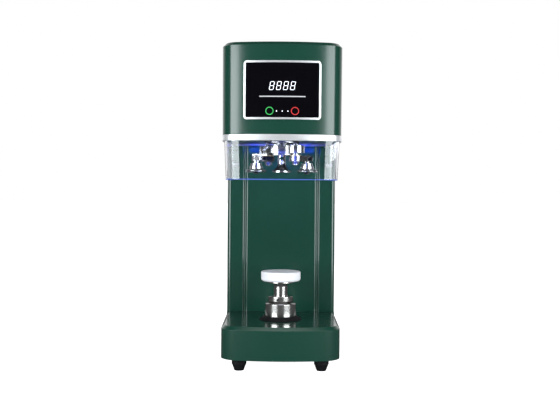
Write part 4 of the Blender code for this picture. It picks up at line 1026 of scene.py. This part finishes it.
@dataclass
class ControlPanel:
    """The silver frame, the black glass with its printed marks, and the board behind."""

    outline: BodyOutline
    border: float = 0.0042
    corner: float = 0.007
    frame_depth: float = 0.0048
    recess: float = 0.0006
    glass: float = 0.0027
    print_depth: float = 0.0003
    digit_height: float = 0.0170
    digit_width: float = 0.0084
    digit_pitch: float = 0.0149
    digit_rise: float = 0.0087
    slant: float = 0.18
    stroke: float = 0.0010
    gap: float = 0.00035
    line_half: float = 0.0490
    line_thick: float = 0.0011
    line_drop: float = 0.0140
    keys_drop: float = 0.0447
    key_out: float = 0.0271
    key_radius: float = 0.0085
    key_ring: float = 0.0016
    dot_radius: float = 0.0011
    lamp_pitch: float = 0.0120

    def build(self) -> None:
        """Build the panel from its frame to the marks on its glass."""
        box = Span.of("panel_frame")
        self.middle = box.centre.z
        self.face = box.low.y
        self.half_width, self.half_height = box.size.x / 2, box.size.z / 2
        self.rim()
        self.pane()
        self.digits()
        self.line()
        self.keys()
        self.board()

    def slab(self, name: str, front: float, depth: float, half_width: float) -> Piece:
        """A slice of the bowed front between two depths."""
        bow_y = self.outline.front + self.outline.bow
        points: list[Flat] = []
        for radius, way in ((bow_y - front, 1), (bow_y - front - depth, -1)):
            reach = asin(half_width / radius)
            points += arc((0, bow_y), radius, -pi / 2 - way * reach, -pi / 2 + way * reach, 40)
        low, high = self.middle - self.half_height * 1.2, self.middle + self.half_height * 1.2
        return Piece.plate(name, points, low, high)

    def opening(self, shrink: float) -> Piece:
        """A straight prism through the front, smaller than the panel all round."""
        width, height = self.half_width - shrink, self.half_height - shrink
        outline = rounded_box(width, height, self.corner - shrink, (0, self.middle))
        return Piece.plate("opening", outline, self.face - PAST, self.face + 0.03, "XZ")

    def rim(self) -> None:
        """The silver frame."""
        rim = self.slab("panel_rim", self.face, self.frame_depth, self.half_width * 1.1)
        rim.combine(self.opening(0), by="INTERSECT").combine(self.opening(self.border))
        rim.soften(0.0007, 2, 40).dress(SILVER, nodes=["panel_frame"])

    def pane(self) -> None:
        """The black glass."""
        pane = self.slab("panel_glass", self.face + self.recess, self.glass, self.half_width * 1.1)
        pane.combine(self.opening(self.border + CLEAR), by="INTERSECT")
        pane.soften(0.0003, 1, 40).dress(GLASS, nodes=["display_glass"])

    def printed(self, marks: Piece, finish: Finish) -> None:
        """Lay flat marks on the bowed glass as a thin print."""
        front = self.face + self.recess - self.print_depth / 2
        name = marks.thing.name
        sheet = self.slab(name, front, self.print_depth, self.half_width * 0.9)
        sheet.combine(marks, by="INTERSECT").thing.name = name
        sheet.dress(finish)

    def mark(self, name: str, outline: Sequence[Flat], extra: float = 0.0) -> Piece:
        """A flat mark that is deep enough to cross the bowed glass, with extra at both ends."""
        placed = [(x, z + self.middle) for x, z in outline]
        return Piece.plate(name, placed, self.face - 0.002 - extra, self.face + 0.012 + extra, "XZ")

    def digits(self) -> None:
        """Four slanted eights made of seven bars each."""
        half_w, half_h, half_s = self.digit_width / 2, self.digit_height / 2, self.stroke / 2
        bars = [((-half_w, z), (half_w, z)) for z in (-half_h, 0, half_h)]
        bars += [((x, z), (x, z + half_h)) for x in (-half_w, half_w) for z in (-half_h, 0)]
        marks: list[Piece] = []
        for place in (-1.5, -0.5, 0.5, 1.5):
            for start, end in bars:
                along = (Vector(end) - Vector(start)).normalized()
                side = Vector((-along.y, along.x)) * half_s
                tip, tail = Vector(end) - along * self.gap, Vector(start) + along * self.gap
                corners = [tail, tail + along * half_s + side, tip - along * half_s + side]
                corners += [tip, tip - along * half_s - side, tail + along * half_s - side]
                outline = [
                    (p.x + p.y * self.slant + place * self.digit_pitch, p.y + self.digit_rise)
                    for p in corners
                ]
                marks.append(self.mark("bar", outline))
        self.printed(marks[0].join(*marks[1:], name="display_digits"), DIGIT)

    def line(self) -> None:
        """The grey line under the digits: its real print colour, with a painted glow."""
        thick = self.line_thick
        outline = rounded_box(self.line_half, thick, thick * 0.5, (0, -self.line_drop))
        self.printed(self.mark("panel_line", outline), GREY_PRINT_PAINTED_GLOW)

    def keys(self) -> None:
        """The rings of the start and stop keys, in their print colours with a painted glow, and
        three dots between them.
        """
        for name, side, finish in (("start_key", -1, GREEN_PRINT_PAINTED_GLOW), ("stop_key", 1, RED_PRINT_PAINTED_GLOW)):
            centre = (side * self.key_out, -self.keys_drop)
            outer = arc(centre, self.key_radius, 0, tau, 64)[:-1]
            inner = arc(centre, self.key_radius - self.key_ring, 0, tau, 64)[:-1]
            self.printed(self.mark(name, outer).combine(self.mark("hole", inner, 0.018)), finish)
        level = -self.keys_drop - 0.0004
        centres = [(step * self.lamp_pitch, level) for step in (-1, 0, 1)]
        circles = [arc(centre, self.dot_radius, 0, tau, 24)[:-1] for centre in centres]
        dots = [self.mark("dot", circle) for circle in circles]
        self.printed(dots[0].join(*dots[1:], name="panel_dots"), DIGIT)

    def board(self) -> None:
        """The circuit board behind the glass."""
        board = Piece.copy_of_node("panel_board", "display_board").soften(0.0003, 1)
        board.dress(BOARD, nodes=["display_board"])


@dataclass
class Guard:
    """The clear guard, a U that tapers down from the band."""

    outline: BodyOutline
    wall: float = 0.005
    top_inset: float = 0.0036
    bottom_inset: float = 0.0073

    def build(self) -> None:
        """Trace the U at the bottom, draw it up and out, and give it its wall."""
        box = Span.of("guard")
        end = box.high.y
        low = self.outline.inset(self.bottom_inset)
        guard = self.strip("clear_guard", low, end, box.low.z, box.size.z)
        wider = (self.outline.half_width - self.top_inset) / low.half_width
        deeper = (end - box.low.y) / (end - low.front)
        top = box.high.z - TINY
        guard.select(lambda at, _: at.z > top, "VERT").scale((wider, deeper, 1), (0, end, top))
        guard.rest().wall(self.wall).soften(0.0014, 3, 40)
        guard.dress(GUARD, nodes=["guard"], smooth=40)
        self.painted_edge_glow(box)

    def painted_edge_glow(self, box: Span) -> None:
        """A thin glowing line in the sheet's lower edge: a painted glow that stands in for the blue
        light carried along the sheet from the light bar.
        """
        low = self.outline.inset(self.bottom_inset + self.wall / 2 - 0.0007)
        line = self.strip("painted_edge_glow", low, box.high.y - 0.01, box.low.z + 0.0012, 0.0009)
        # The strip glows by itself: painted light, not a lamp.
        line.rest().wall(0.0014).dress(PAINTED_EDGE_GLOW)

    def strip(self, name: str, shape: BodyOutline, end: float, low: float, height: float) -> Piece:
        """An upright strip along the U, still in edit mode with its upper edge selected."""
        ends = [(-shape.half_width, end)], [(shape.half_width, end)]
        path = ends[0] + shape.front_path(20, 16) + ends[1]
        strip = Piece.trace(name, [(x, y, low) for x, y in path])
        return strip.edit("EDGE").extrude((0, 0, height))


@dataclass
class SeamingHead:
    """The spindle's flange, the turret with its arms and rollers, and the chuck."""

    hub_radius: float = 0.041
    lobe_radius: float = 0.020
    soft: float = 0.0006
    flange_height: float = 0.0064
    step_radius: float = 0.015
    step_height: float = 0.008
    cap_radius: float = 0.0126
    cap_height: float = 0.0065
    bore: float = 0.0043
    boss_radius: float = 0.014
    eye_radius: float = 0.010
    feed_gap: float = 0.0013
    screw_circle: float = 0.0355
    peg_orbit: float = 0.0643
    sides: dict[str, int] = field(default_factory=lambda: {"first": 1, "second": -1})

    def build(self) -> None:
        """Build the fixed pieces, the turret, and each arm with its roller."""
        self.axis = Span.of("chuck").centre.xy
        self.hub_box = Span.of("turret_hub")
        self.arm_top = Span.of("feed_tube").low.z - self.feed_gap
        self.flange()
        self.chuck()
        self.hub()
        self.feed_plate()
        for order in self.sides:
            self.pivot_pin(order)
            self.arm(order)
            self.roller(order)
            self.roller_pin(order)
        self.spring()

    def flange(self) -> None:
        """The fixed spindle housing; its flange shows under the head plate."""
        box = Span.of("spindle_housing")
        bearing = Span.of("spindle_bearing_lower").radius
        bore, wall, thick = bearing + CLEAR, bearing + 0.006, 0.005
        profile = [
            (bore, box.low.z), (box.radius, box.low.z), (box.radius, box.low.z + thick),
            (wall, box.low.z + thick), (wall, box.high.z), (bore, box.high.z),
        ]
        housing = Piece.lathe("spindle_flange", profile, self.axis, self.soft)
        housing.dress(SATIN_STEEL.about(*self.axis), nodes=["spindle_housing"])

    def chuck(self) -> None:
        """The chuck: a neck with a cross hole that sweeps out to the sharp rim."""
        box = Span.of("chuck")
        neck, rim, sweep = 0.009, 0.004, 0.022
        low, high, radius = box.low.z, box.high.z, box.radius
        shares = [i / 12 for i in range(13)]
        profile = [(0, low + 0.0015), (radius * 0.7, low + 0.0015), (radius * 0.74, low)]
        profile += [(radius - 0.0006, low), (radius, low + 0.0008)]
        flare, rise = radius - neck, sweep - rim
        profile += [(neck + flare * (1 - t) ** 2.2, low + rim + rise * t) for t in shares]
        profile += [(neck, high - 0.0005), (neck - 0.0005, high), (0, high)]
        chuck = Piece.lathe("seaming_chuck", profile, self.axis)
        level = (low + sweep + high) / 2
        section = tube(-0.03, 0.03, 0.0040)
        hole = Piece.lathe("hole", section, (self.axis[0], level), along="Y", facets=32)
        hole.edit().shift((0, self.axis[1], 0)).rest()
        chuck.combine(hole).soften(0.0003, 1, 50).dress(STEEL.about(*self.axis), nodes=["chuck"])

    def hub(self) -> None:
        """The turret's hub with a lobe round each pivot, its screws and the spring's anchor."""
        low, high = self.hub_box.low.z, self.hub_box.high.z
        spindle = Span.of("turret_spindle").radius + CLEAR
        ring = tube(low, high, self.hub_radius, spindle)
        hub = Piece.lathe("turret_plate", ring, self.axis, self.soft)
        for order in self.sides:
            pin = Span.of(f"pivot_pin_{order}")
            lobe = tube(low, high, self.lobe_radius, pin.radius - 0.0017)
            hub.combine(Piece.lathe("lobe", lobe, pin.centre.xy, self.soft), by="UNION")
        anchor_x, anchor_z = -0.0255, high - 0.003
        rim = self.axis[1] - sqrt(self.hub_radius**2 - anchor_x**2)
        anchor = [(0, 0), (0.002, 0), (0.002, 0.012), (0.0026, 0.0125), (0.0026, 0.014), (0, 0.014)]
        peg = Piece.lathe("anchor", anchor, soften=0.0002, facets=24)
        hub.combine(peg.copied("peg", (anchor_x, rim + 0.005, anchor_z), FRONT), by="UNION")
        peg.discard()
        hub.dress(STEEL.about(*self.axis), "turret", ["turret_hub"])
        headings = [radians(angle) for angle in (-115, -5, 65, 175)]
        places = [(*arc(self.axis, self.screw_circle, a, a, 1)[0], high) for a in headings]
        socket_screw(0.0034, 0.0030).spread("hub_screws", places).dress(STUD, "turret")

    def feed_plate(self) -> None:
        """The slotted feed plate under the hub, on its long tube."""
        plate = Piece.copy_of_node("feed_plate", "feed_tube").soften(0.0003, 1, 50)
        plate.dress(SATIN_STEEL.about(*self.axis), "feed", ["feed_tube"])

    def pivot_pin(self, order: str) -> None:
        """A pivot pin: its head with a hexagon socket above the hub, and its nut below the arm."""
        box = Span.of(f"pivot_pin_{order}")
        at = box.centre.xy
        head, pin = box.radius, box.radius - 0.002
        head_low = self.hub_box.high.z + CLEAR
        nut_top = Span.of(f"roller_arm_{order}").low.z - CLEAR
        profile = [(0, box.low.z), (pin - 0.0008, box.low.z), (pin, box.low.z + 0.0008)]
        profile += [(pin, head_low), (head, head_low), (head, box.high.z), (0, box.high.z)]
        bolt = Piece.lathe(f"pivot_bolt_{order}", profile, at, 0.0004, 48)
        bolt.drill(0.0042, box.high.z - 0.003, box.high.z + PAST, at)
        bolt.dress(STEEL.about(*at), "turret", [f"pivot_pin_{order}"])
        nut_low = box.low.z + 0.0022
        nut = Piece.lathe(f"pivot_nut_{order}", tube(nut_low, nut_top, 0.0078, pin), at, facets=6)
        cone = [(0, nut_low - 0.002), (0.0055, nut_low - 0.002), (0.0086, nut_low + 0.0014)]
        cone += [(0.0086, nut_top - 0.0010), (0.0076, nut_top + 0.0005), (0, nut_top + 0.0005)]
        nut.combine(Piece.lathe("cone", cone, at), by="INTERSECT")
        nut.dress(SATIN_STEEL.about(*at), "turret")

    def arm(self, order: str) -> None:
        """A roller arm: pivot boss, eye for the roller pin, clamp block with two screws, washer."""
        side = self.sides[order]
        body = f"arm_{order}"
        box = Span.of(f"roller_arm_{order}")
        pivot = Span.of(f"pivot_pin_{order}").centre
        eye = Span.of(f"roller_pin_{order}").centre
        low, high = box.low.z, self.arm_top
        outline = link(pivot.xy, self.boss_radius, eye.xy, self.eye_radius)
        bar = Piece.plate(f"arm_plate_{order}", outline, low, high)
        if side > 0:
            block_low = (eye.x - 0.0085, eye.y - 0.0115, low + 0.0004)
            block_high = (eye.x + 0.0125, eye.y - 0.0052, high - 0.0004)
            bar.combine(Piece.block("clamp", block_low, block_high), by="UNION")
        else:
            self.strap(bar, eye, low, high)
        boss = tube(high - 0.001, self.hub_box.low.z - CLEAR, 0.008)
        bar.combine(Piece.lathe("boss", boss, pivot.xy, facets=48), by="UNION")
        bar.drill(0.0063, low - PAST, high + PAST, pivot.xy, 48)
        bar.drill(self.bore, low - PAST, high + PAST, eye.xy, 44).soften(self.soft, 2, 40)
        bar.dress(SATIN_STEEL.about(*pivot.xy), body, [f"roller_arm_{order}"])
        ring = tube(high + 0.0001, high + 0.0011, 0.0125, 0.0082)
        Piece.lathe(f"brass_washer_{order}", ring, pivot.xy, 0.0002).dress(BRASS, body)
        level = (low + high) / 2
        forward, across = (0.0115, (-0.0036, 0.0062)) if side > 0 else (0.0265, (0.019, 0.0305))
        places = [(eye.x + x, eye.y - forward, level) for x in across]
        screws = socket_screw(0.0043, 0.0036).spread(f"clamp_screws_{order}", places, FRONT)
        screws.dress(OXIDE, body)

    def strap(self, bar: Piece, eye: Vector, low: float, high: float) -> None:
        """Add the second arm's strap with the post that the spring pulls, and its peg's tab."""
        box = Span.of("roller_arm_second")
        horn = Vector((-0.0475, self.axis[1] - 0.0375))
        strap = Piece.plate("strap", link(eye.xy, 0.007, horn, 0.0035), low + 0.002, high - 0.002)
        bar.combine(strap, by="UNION")
        post = [(0, low + 0.004), (0.0022, low + 0.004), (0.0022, box.high.z - 0.001)]
        post += [(0.0016, box.high.z), (0, box.high.z)]
        bar.combine(Piece.lathe("post", post, horn, facets=32), by="UNION")
        pivot = Span.of("pivot_pin_second").centre.xy
        outward = (Vector(pivot) - Vector(self.axis)).normalized()
        peg = Vector(self.axis) + outward * self.peg_orbit
        tab = Piece.plate("tab", link(pivot, 0.0084, peg, 0.0066), low + 0.002, high - 0.001)
        pin = Piece.lathe("pin", tube(low + 0.004, high + 0.0047, 0.0028), peg, facets=32)
        bar.combine(tab, pin, by="UNION")

    def roller(self, order: str) -> None:
        """A seaming roller: grooved flange, step and cap, turned from one bar."""
        box = Span.of(f"seaming_roller_{order}")
        low, radius = box.low.z, box.radius
        rim = low + self.flange_height
        step = rim + self.step_height
        cap = step + self.cap_height
        groove = arc((radius + 0.0012, low + 0.0031), 0.0020, radians(250), radians(110), 6)
        profile = [(self.bore, low), (radius - 0.0010, low), (radius, low + 0.0008)]
        profile += [point for point in groove if point[0] < radius]
        middle, top = self.step_radius, self.cap_radius
        profile += [(radius, rim - 0.0012), (radius - 0.0008, rim - 0.0002), (middle + 0.002, rim)]
        profile += [(middle, rim + 0.0012), (middle, step - 0.0006), (middle - 0.0006, step)]
        profile += [(top, step), (top, cap - 0.0008), (top - 0.0008, cap), (0.006, cap)]
        profile += [(0.006, box.high.z), (self.bore, box.high.z)]
        roller = Piece.lathe(f"roller_{order}_turned", profile, box.centre.xy)
        finish = ROLLER_STEEL.about(*box.centre.xy)
        roller.dress(finish, f"roller_{order}", [f"seaming_roller_{order}"])

    def roller_pin(self, order: str) -> None:
        """The pin through a roller: a round nut on the arm's eye, and a socket screw below."""
        box = Span.of(f"roller_pin_{order}")
        at = box.centre.xy
        roller_low = Span.of(f"seaming_roller_{order}").low.z
        pin = 0.004
        profile = [
            (0, box.low.z), (box.radius, box.low.z), (box.radius, roller_low - CLEAR),
            (pin, roller_low - CLEAR), (pin, self.arm_top), (pin + 0.0025, self.arm_top),
            (pin + 0.0025, box.high.z - 0.0004), (0, box.high.z - 0.0004),
        ]
        screw = Piece.lathe(f"roller_screw_{order}", profile, at, 0.0003, 48)
        screw.drill(0.0026, box.low.z - 0.005, box.low.z + 0.0018, at)
        screw.dress(OXIDE, f"arm_{order}", [f"roller_pin_{order}"])

    def spring(self) -> None:
        """The close-wound tension spring between the hub's anchor and the second arm's post."""
        box = Span.of("arm_spring")
        coil, wire = 0.0033, 0.0005
        low = Vector((box.low.x + 0.003, box.centre.y, box.low.z + 0.002))
        high = Vector((box.high.x - 0.003, box.centre.y, box.high.z - 0.002))
        length = (high - low).length
        turns = int(length / (2 * wire * 1.08))
        section = {"vertices": 8, "radius": wire, "location": (coil, 0, 0), "fill_type": "NGON"}
        adder = bpy.ops.mesh.primitive_circle_add
        ring = Piece.start("coil_spring", adder, rotation=(pi / 2, 0, 0), **section)
        steps = {"steps": 20, "render_steps": 20}
        ring.modify("SCREW", angle=tau, screw_offset=length / turns, iterations=turns, **steps)
        ring.edit()
        bpy.ops.mesh.fill_holes(sides=0)
        ring.outward().rest()
        coil_piece = ring.copied("arm_coil_spring", low, high - low)
        ring.discard()
        coil_piece.dress(SPRING, "turret", ["arm_spring"], smooth=60)


@dataclass
class Lift:
    """The tray on its post, the collar, the plunger and the rubber seal round it."""

    collar_wall: float = 0.01235

    def build(self) -> None:
        """Build the lift from the seal up to the tray."""
        self.axis = Span.of("tray_disc").centre.xy
        self.seal()
        self.plunger()
        self.collar()
        self.post()
        self.tray()

    def seal(self) -> None:
        """The flared rubber ring, ribbed near its lip."""
        box = Span.of("seal_ring")
        bore, low, high = Span.of("lift_plunger").radius + CLEAR, box.low.z, box.high.z
        profile = [
            (bore, low), (box.radius, low), (box.radius, low + 0.0012),
            (box.radius - 0.0035, low + 0.0030), (box.radius - 0.0070, low + 0.0040),
            (bore + 0.0036, low + 0.0062), (bore + 0.0024, high), (bore, high),
        ]
        Piece.lathe("seal_boot", profile, self.axis, 0.0006).dress(RUBBER, nodes=["seal_ring"])

    def plunger(self) -> None:
        """The polished plunger with its rounded crown."""
        box = Span.of("lift_plunger")
        bore = Span.of("lock_collar").radius - self.collar_wall
        inner, crown = box.radius - 0.005, box.high.z - 0.0205
        profile = [
            (inner, box.low.z), (box.radius, box.low.z), (box.radius, box.high.z - 0.003),
            (box.radius - 0.003, box.high.z), (bore, box.high.z), (bore, crown), (inner, crown),
        ]
        plunger = Piece.lathe("polished_plunger", profile, self.axis, 0.0008)
        plunger.dress(STEEL.about(*self.axis), "plunger", ["lift_plunger"])

    def collar(self) -> None:
        """The clamp collar, with a set screw in its side."""
        box = Span.of("lock_collar")
        low, high, bore = box.low.z, box.high.z, box.radius - self.collar_wall
        profile = [
            (bore, low), (box.radius - 0.004, low), (box.radius - 0.0006, low + 0.0020),
            (box.radius, low + 0.0028), (box.radius, high - 0.0012), (box.radius - 0.0012, high),
            (bore, high),
        ]
        collar = Piece.lathe("clamp_collar", profile, self.axis, 0.0003)
        heading = radians(-90 - 14)
        way = Vector((cos(heading), sin(heading), 0))
        level = (low + high) / 2
        hole = Piece.lathe("hole", tube(0, 0.02, 0.0027), facets=32)
        middle = Vector((*self.axis, level))
        collar.combine(hole.copied("drill", middle + way * 0.019, way))
        hole.discard()
        collar.dress(STEEL.about(*self.axis), "plunger", ["lock_collar"])
        plug = socket_screw(0.0026, 0.0030)
        plug.copied("collar_set_screw", middle + way * 0.0215, way).dress(OXIDE, "plunger")
        plug.discard()

    def post(self) -> None:
        """The tray's post, which flares to a thin flange under the tray."""
        box = Span.of("tray_post")
        shaft, top = 0.016, box.high.z
        flare, turns = 0.007, (0, 0.4, 0.8, 1.2, 1.5)
        profile = [(0, box.low.z), (shaft, box.low.z)]
        profile += [(shaft + flare * (1 - cos(a)), top - 0.0115 + flare * sin(a)) for a in turns]
        profile += [(box.radius, top - 0.0040), (box.radius, top), (0, top)]
        stem = Piece.lathe("tray_stem", profile, self.axis, 0.0004)
        stem.dress(STEEL.about(*self.axis), "tray", ["tray_post"])

    def tray(self) -> None:
        """The white tray with a rounded lower edge and a fine locating groove on top."""
        box = Span.of("tray_disc")
        low, high, radius = box.low.z, box.high.z, box.radius
        lower = arc((radius - 0.006, low + 0.006), 0.006, -pi / 2, 0, 10)
        upper = arc((radius - 0.002, high - 0.002), 0.002, 0, pi / 2, 6)
        groove = [(0.0330, high), (0.0326, high - 0.0006), (0.0318, high - 0.0006), (0.0314, high)]
        profile = [(0, low)] + lower + upper + groove + [(0, high)]
        tray = Piece.lathe("white_tray", profile, self.axis, facets=128)
        tray.dress(ACETAL, "tray", ["tray_disc"])


@dataclass
class Rear:
    """The rear cover with its vents and screws, the mains inlet and the rocker switch."""

    vent: Point = (0.032, 0.010, 0.004)
    pitch: float = 0.013
    rows: int = 9

    def build(self) -> None:
        """Build the cover, then what is let into it."""
        self.cover()
        self.inlet()
        self.switch()

    def cover(self) -> None:
        """The recessed rear cover, slotted and screwed on."""
        box = Span.of("rear_cover")
        cover = Piece.block("back_panel", box.low, box.high)
        width, _, height = self.vent
        top = box.high.z - 0.0447
        outline = rounded_box(width / 2, height / 2, height * 0.45, (0, 0))
        slot = Piece.plate("slot", outline, -0.01, 0.01, "XZ")
        places = [
            (side * width * 0.7, box.centre.y, top - row * self.pitch + height / 2)
            for side in (-1, 1) for row in range(self.rows)
        ]
        cover.combine(slot.spread("slots", places))
        for node, half in (("power_inlet", (0.0143, 0.0108)), ("switch_housing", (0.0088, 0.0128))):
            part, half = Span.of(node).centre, Vector((half[0], 0, half[1]))
            part.y = box.centre.y
            half.y = box.size.y / 2 + 0.01
            cover.combine(Piece.block("hole", part - half, part + half))
        cover.soften(0.0004, 1).dress(GREEN, nodes=["rear_cover"])
        rows = (box.low.z + 0.015, box.centre.z, box.high.z - 0.015)
        screws = [(x, box.high.y, z) for x in (-0.098, 0.098) for z in rows]
        cross_screw(0.0038, 0.0022).spread("rear_screws", screws, BACK).dress(ZINC)

    def inlet(self) -> None:
        """The mains inlet with its three pins, and the two screws in its flange."""
        inlet = Piece.copy_of_node("mains_inlet", "power_inlet").soften(0.0004, 1, 40)
        inlet.dress(PLASTIC, nodes=["power_inlet"])
        box = Span.of("power_inlet")
        places = [(box.centre.x + side * 0.0192, box.high.y, box.centre.z) for side in (-1, 1)]
        cross_screw(0.0027, 0.0014).spread("inlet_screws", places, BACK).dress(ZINC)

    def switch(self) -> None:
        """The rocker in its housing."""
        body = Piece.copy_of_node("switch_body", "switch_housing").soften(0.0004, 1, 40)
        body.dress(PLASTIC, nodes=["switch_housing"])
        rocker = Piece.copy_of_node("switch_rocker", "power_rocker").soften(0.0005, 2, 20)
        rocker.dress(PLASTIC, "rocker", ["power_rocker"])


@dataclass
class Inside:
    """The pieces behind the covers, which keep their CAD shapes."""

    finishes: tuple[tuple[Finish, str], ...] = (
        (ZINC, "column_frame head_plate shaft_bridge lift_bracket"),
        (BRASS, "feed_brake"),
        (RUBBER, "turret_belt"),
        (CASTING, "drive_motor lift_motor"),
        (OXIDE, "lift_lever"),
        (SATIN_STEEL, "lift_cam lever_pin plunger_guide"),
        (STEEL, "spindle_bearing_lower spindle_bearing_upper centre_shaft"),
        (SATIN_STEEL, "turret_spindle"),
        (CASTING, "turret_pulley feed_drum"),
        (STEEL, "motor_shaft"),
        (CASTING, "motor_pulley"),
    )

    def build(self) -> None:
        """Give each carried-over node its finish, turned about its own axis where it is turned."""
        for finish, nodes in self.finishes:
            for node in nodes.split():
                self.cover(node, finish)

    def cover(self, node: str, finish: Finish) -> None:
        """Put a finish on one carried-over node."""
        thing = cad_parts[node]
        if isinstance(finish, Metal) and finish.lay is Lay.ROUND:
            finish = finish.about(*Span.of(node).centre.xy)
        thing.data.materials.clear()
        thing.data.materials.append(finish.material())
        log.info("%s keeps its CAD shape", node)


@dataclass
class Studio:
    """The camera, the pale floor, the soft lights and the white surroundings."""

    focal: float = 55.6
    eye: Point = (-0.0034, -2.062, 0.394)
    roll: float = radians(-0.45)
    shift: float = -0.039
    box_distance: float = 1.9
    box_height: float = 1.15

    def build(self) -> None:
        """Set up everything that isn't part of the machine."""
        scene = bpy.context.scene
        scene.view_settings.view_transform = "Standard"
        self.camera(scene)
        self.surroundings(scene)
        self.floor()
        self.softbox("left", -46.0, 40.0, 9.2)
        self.softbox("right", 48.0, 44.0, 8.2)
        self.top_light()
        self.blue_light()

    def camera(self, scene: bpy.types.Scene) -> None:
        """A level camera in front of the machine."""
        data = bpy.data.cameras.new("camera")
        data.lens = self.focal
        data.sensor_width = 36.0
        data.shift_y = self.shift
        camera = bpy.data.objects.new("camera", data)
        camera.location = self.eye
        camera.rotation_euler = (pi / 2, self.roll, 0)
        scene.collection.objects.link(camera)
        scene.camera = camera

    def surroundings(self, scene: bpy.types.Scene) -> None:
        """A world that is white behind the machine, and dim in front of it as metal sees it."""
        scene.world = bpy.data.worlds.new("studio")
        graph = Graph(scene.world, "Background")
        rays = graph.node("LightPath").outputs
        split = graph.node("SeparateXYZ", {0: graph.node("TexCoord").outputs["Generated"]})
        behind = graph.between(split.outputs["Y"], 0.03, 1.0, (0.3, 0.8))
        strength: Socket | float = 0.22
        for kind, value in (("Glossy", behind), ("Transmission", behind), ("Camera", 1.0)):
            inputs = {0: rays[f"Is {kind} Ray"], 2: strength, 3: value}
            strength = graph.node("Mix", inputs).outputs[0]
        graph.set(Strength=strength, Color=(1, 1, 1, 1))

    def floor(self) -> None:
        """A wide pale floor, which metal sees dim: painted shade in its reflections."""
        adder = bpy.ops.mesh.primitive_plane_add
        floor = Piece.start("floor", adder, size=40, location=(0, 0, -0.0002))
        material = bpy.data.materials.new("pale_floor")
        graph = Graph(material)
        rays = graph.node("LightPath")
        bounces = graph.sum(rays.outputs["Diffuse Depth"], rays.outputs["Glossy Depth"])
        through = graph.sum(rays.outputs["Is Transmission Ray"], bounces, "SUBTRACT")
        seen = graph.sum(rays.outputs["Is Camera Ray"], through, "MAXIMUM")
        pale = graph.tint(graph.noise(12.0), (0.80, 0.80, 0.80), (0.83, 0.83, 0.83))
        # Painted shade in reflections: glossy rays see the floor dark grey instead of pale.
        inputs = {0: rays.outputs["Is Glossy Ray"], 6: pale, 7: (0.13, 0.13, 0.13, 1)}
        dim = graph.node("Mix", inputs, data_type="RGBA")
        graph.set(Base_Color=dim.outputs[2])
        graph.set(Roughness=0.9, Emission_Color=(1, 1, 1, 1), Specular_IOR_Level=0.0)
        graph.set(Emission_Strength=graph.between(seen, 0.0, 1.0, (0, 1)))
        floor.thing.data.materials.append(material)

    def lamp(
        self,
        name: str,
        size: Flat,
        at: Point,
        target: Point,
        radiance: float,
        colour: Colour = (1, 1, 1),
    ) -> bpy.types.Object:
        """An area light that faces a point.

        Args:
            name: The light's name.
            size: Its width and height.
            at: Where it stands.
            target: What it faces.
            radiance: How bright its face is; 1 is white.
            colour: Its colour.

        Returns:
            The light's object.
        """
        data = bpy.data.lights.new(name, "AREA")
        data.shape = "RECTANGLE"
        data.size, data.size_y = size
        data.energy = radiance * pi * size[0] * size[1]
        data.color = colour
        light = bpy.data.objects.new(name, data)
        light.location = at
        light.rotation_euler = (Vector(target) - Vector(at)).to_track_quat("-Z", "Y").to_euler()
        bpy.context.scene.collection.objects.link(light)
        return light

    def softbox(self, name: str, azimuth: float, width: float, radiance: float) -> None:
        """A tall softbox in front, at an azimuth and as wide as an angle, both in degrees."""
        heading = radians(azimuth)
        middle = Vector((0, Span.of("chuck").centre.y, 0.50))
        at = middle + Vector((sin(heading), -cos(heading), 0.0)) * self.box_distance
        size = (2 * self.box_distance * sin(radians(width / 2)), self.box_height)
        self.lamp(f"softbox_{name}", size, at, middle, radiance, (0.94, 1.0, 1.02))

    def top_light(self) -> None:
        """A wide, weak light from above, and a fill for the back."""
        self.lamp("overhead", (1.6, 1.0), (0, -1.0, 2.1), (0, -0.1, 0.4), 2.2)
        rear = self.lamp("rear_fill", (1.6, 1.2), (0.9, 2.0, 1.1), (0, 0.1, 0.4), 1.6)
        rear.visible_camera = False
        rear.visible_glossy = False

    def blue_light(self) -> None:
        """What the light bar throws on the column behind the seaming head."""
        bar = Span.of("led_bar")
        at = (0, Span.of("spindle_housing").high.y + 0.008, bar.low.z - 0.008)
        target = (0, Span.of("column_front_panel").low.y, at[2] - 0.012)
        light = self.lamp("blue_wash", (0.16, 0.010), at, target, 12.0, (0.0, 0.05, 1.0))
        light.data.spread = radians(160)
        light.visible_camera = False
        at = (0, bar.low.y - 0.008, bar.low.z - 0.036)
        target = (0, Span.of("chuck").centre.y, at[2])
        accent = self.lamp("blue_accent", (0.09, 0.03), at, target, 2.4, (0.03, 0.10, 1.0))
        accent.visible_camera = False


def main() -> None:
    """Build the machine's looks, sub-assembly by sub-assembly, and the studio round it."""
    logging.basicConfig(level=logging.INFO, format="%(message)s")
    bpy.context.view_layer.update()
    outline = BodyOutline.of_base()
    assemblies = [
        Base(outline), Column(), Head(outline), ControlPanel(outline), Guard(outline),
        SeamingHead(), Lift(), Rear(), Inside(), Studio(),
    ]
    for assembly in assemblies:
        log.info("== %s", type(assembly).__name__)
        assembly.build()
    bpy.context.view_layer.update()


if __name__ == "__main__":
    main()
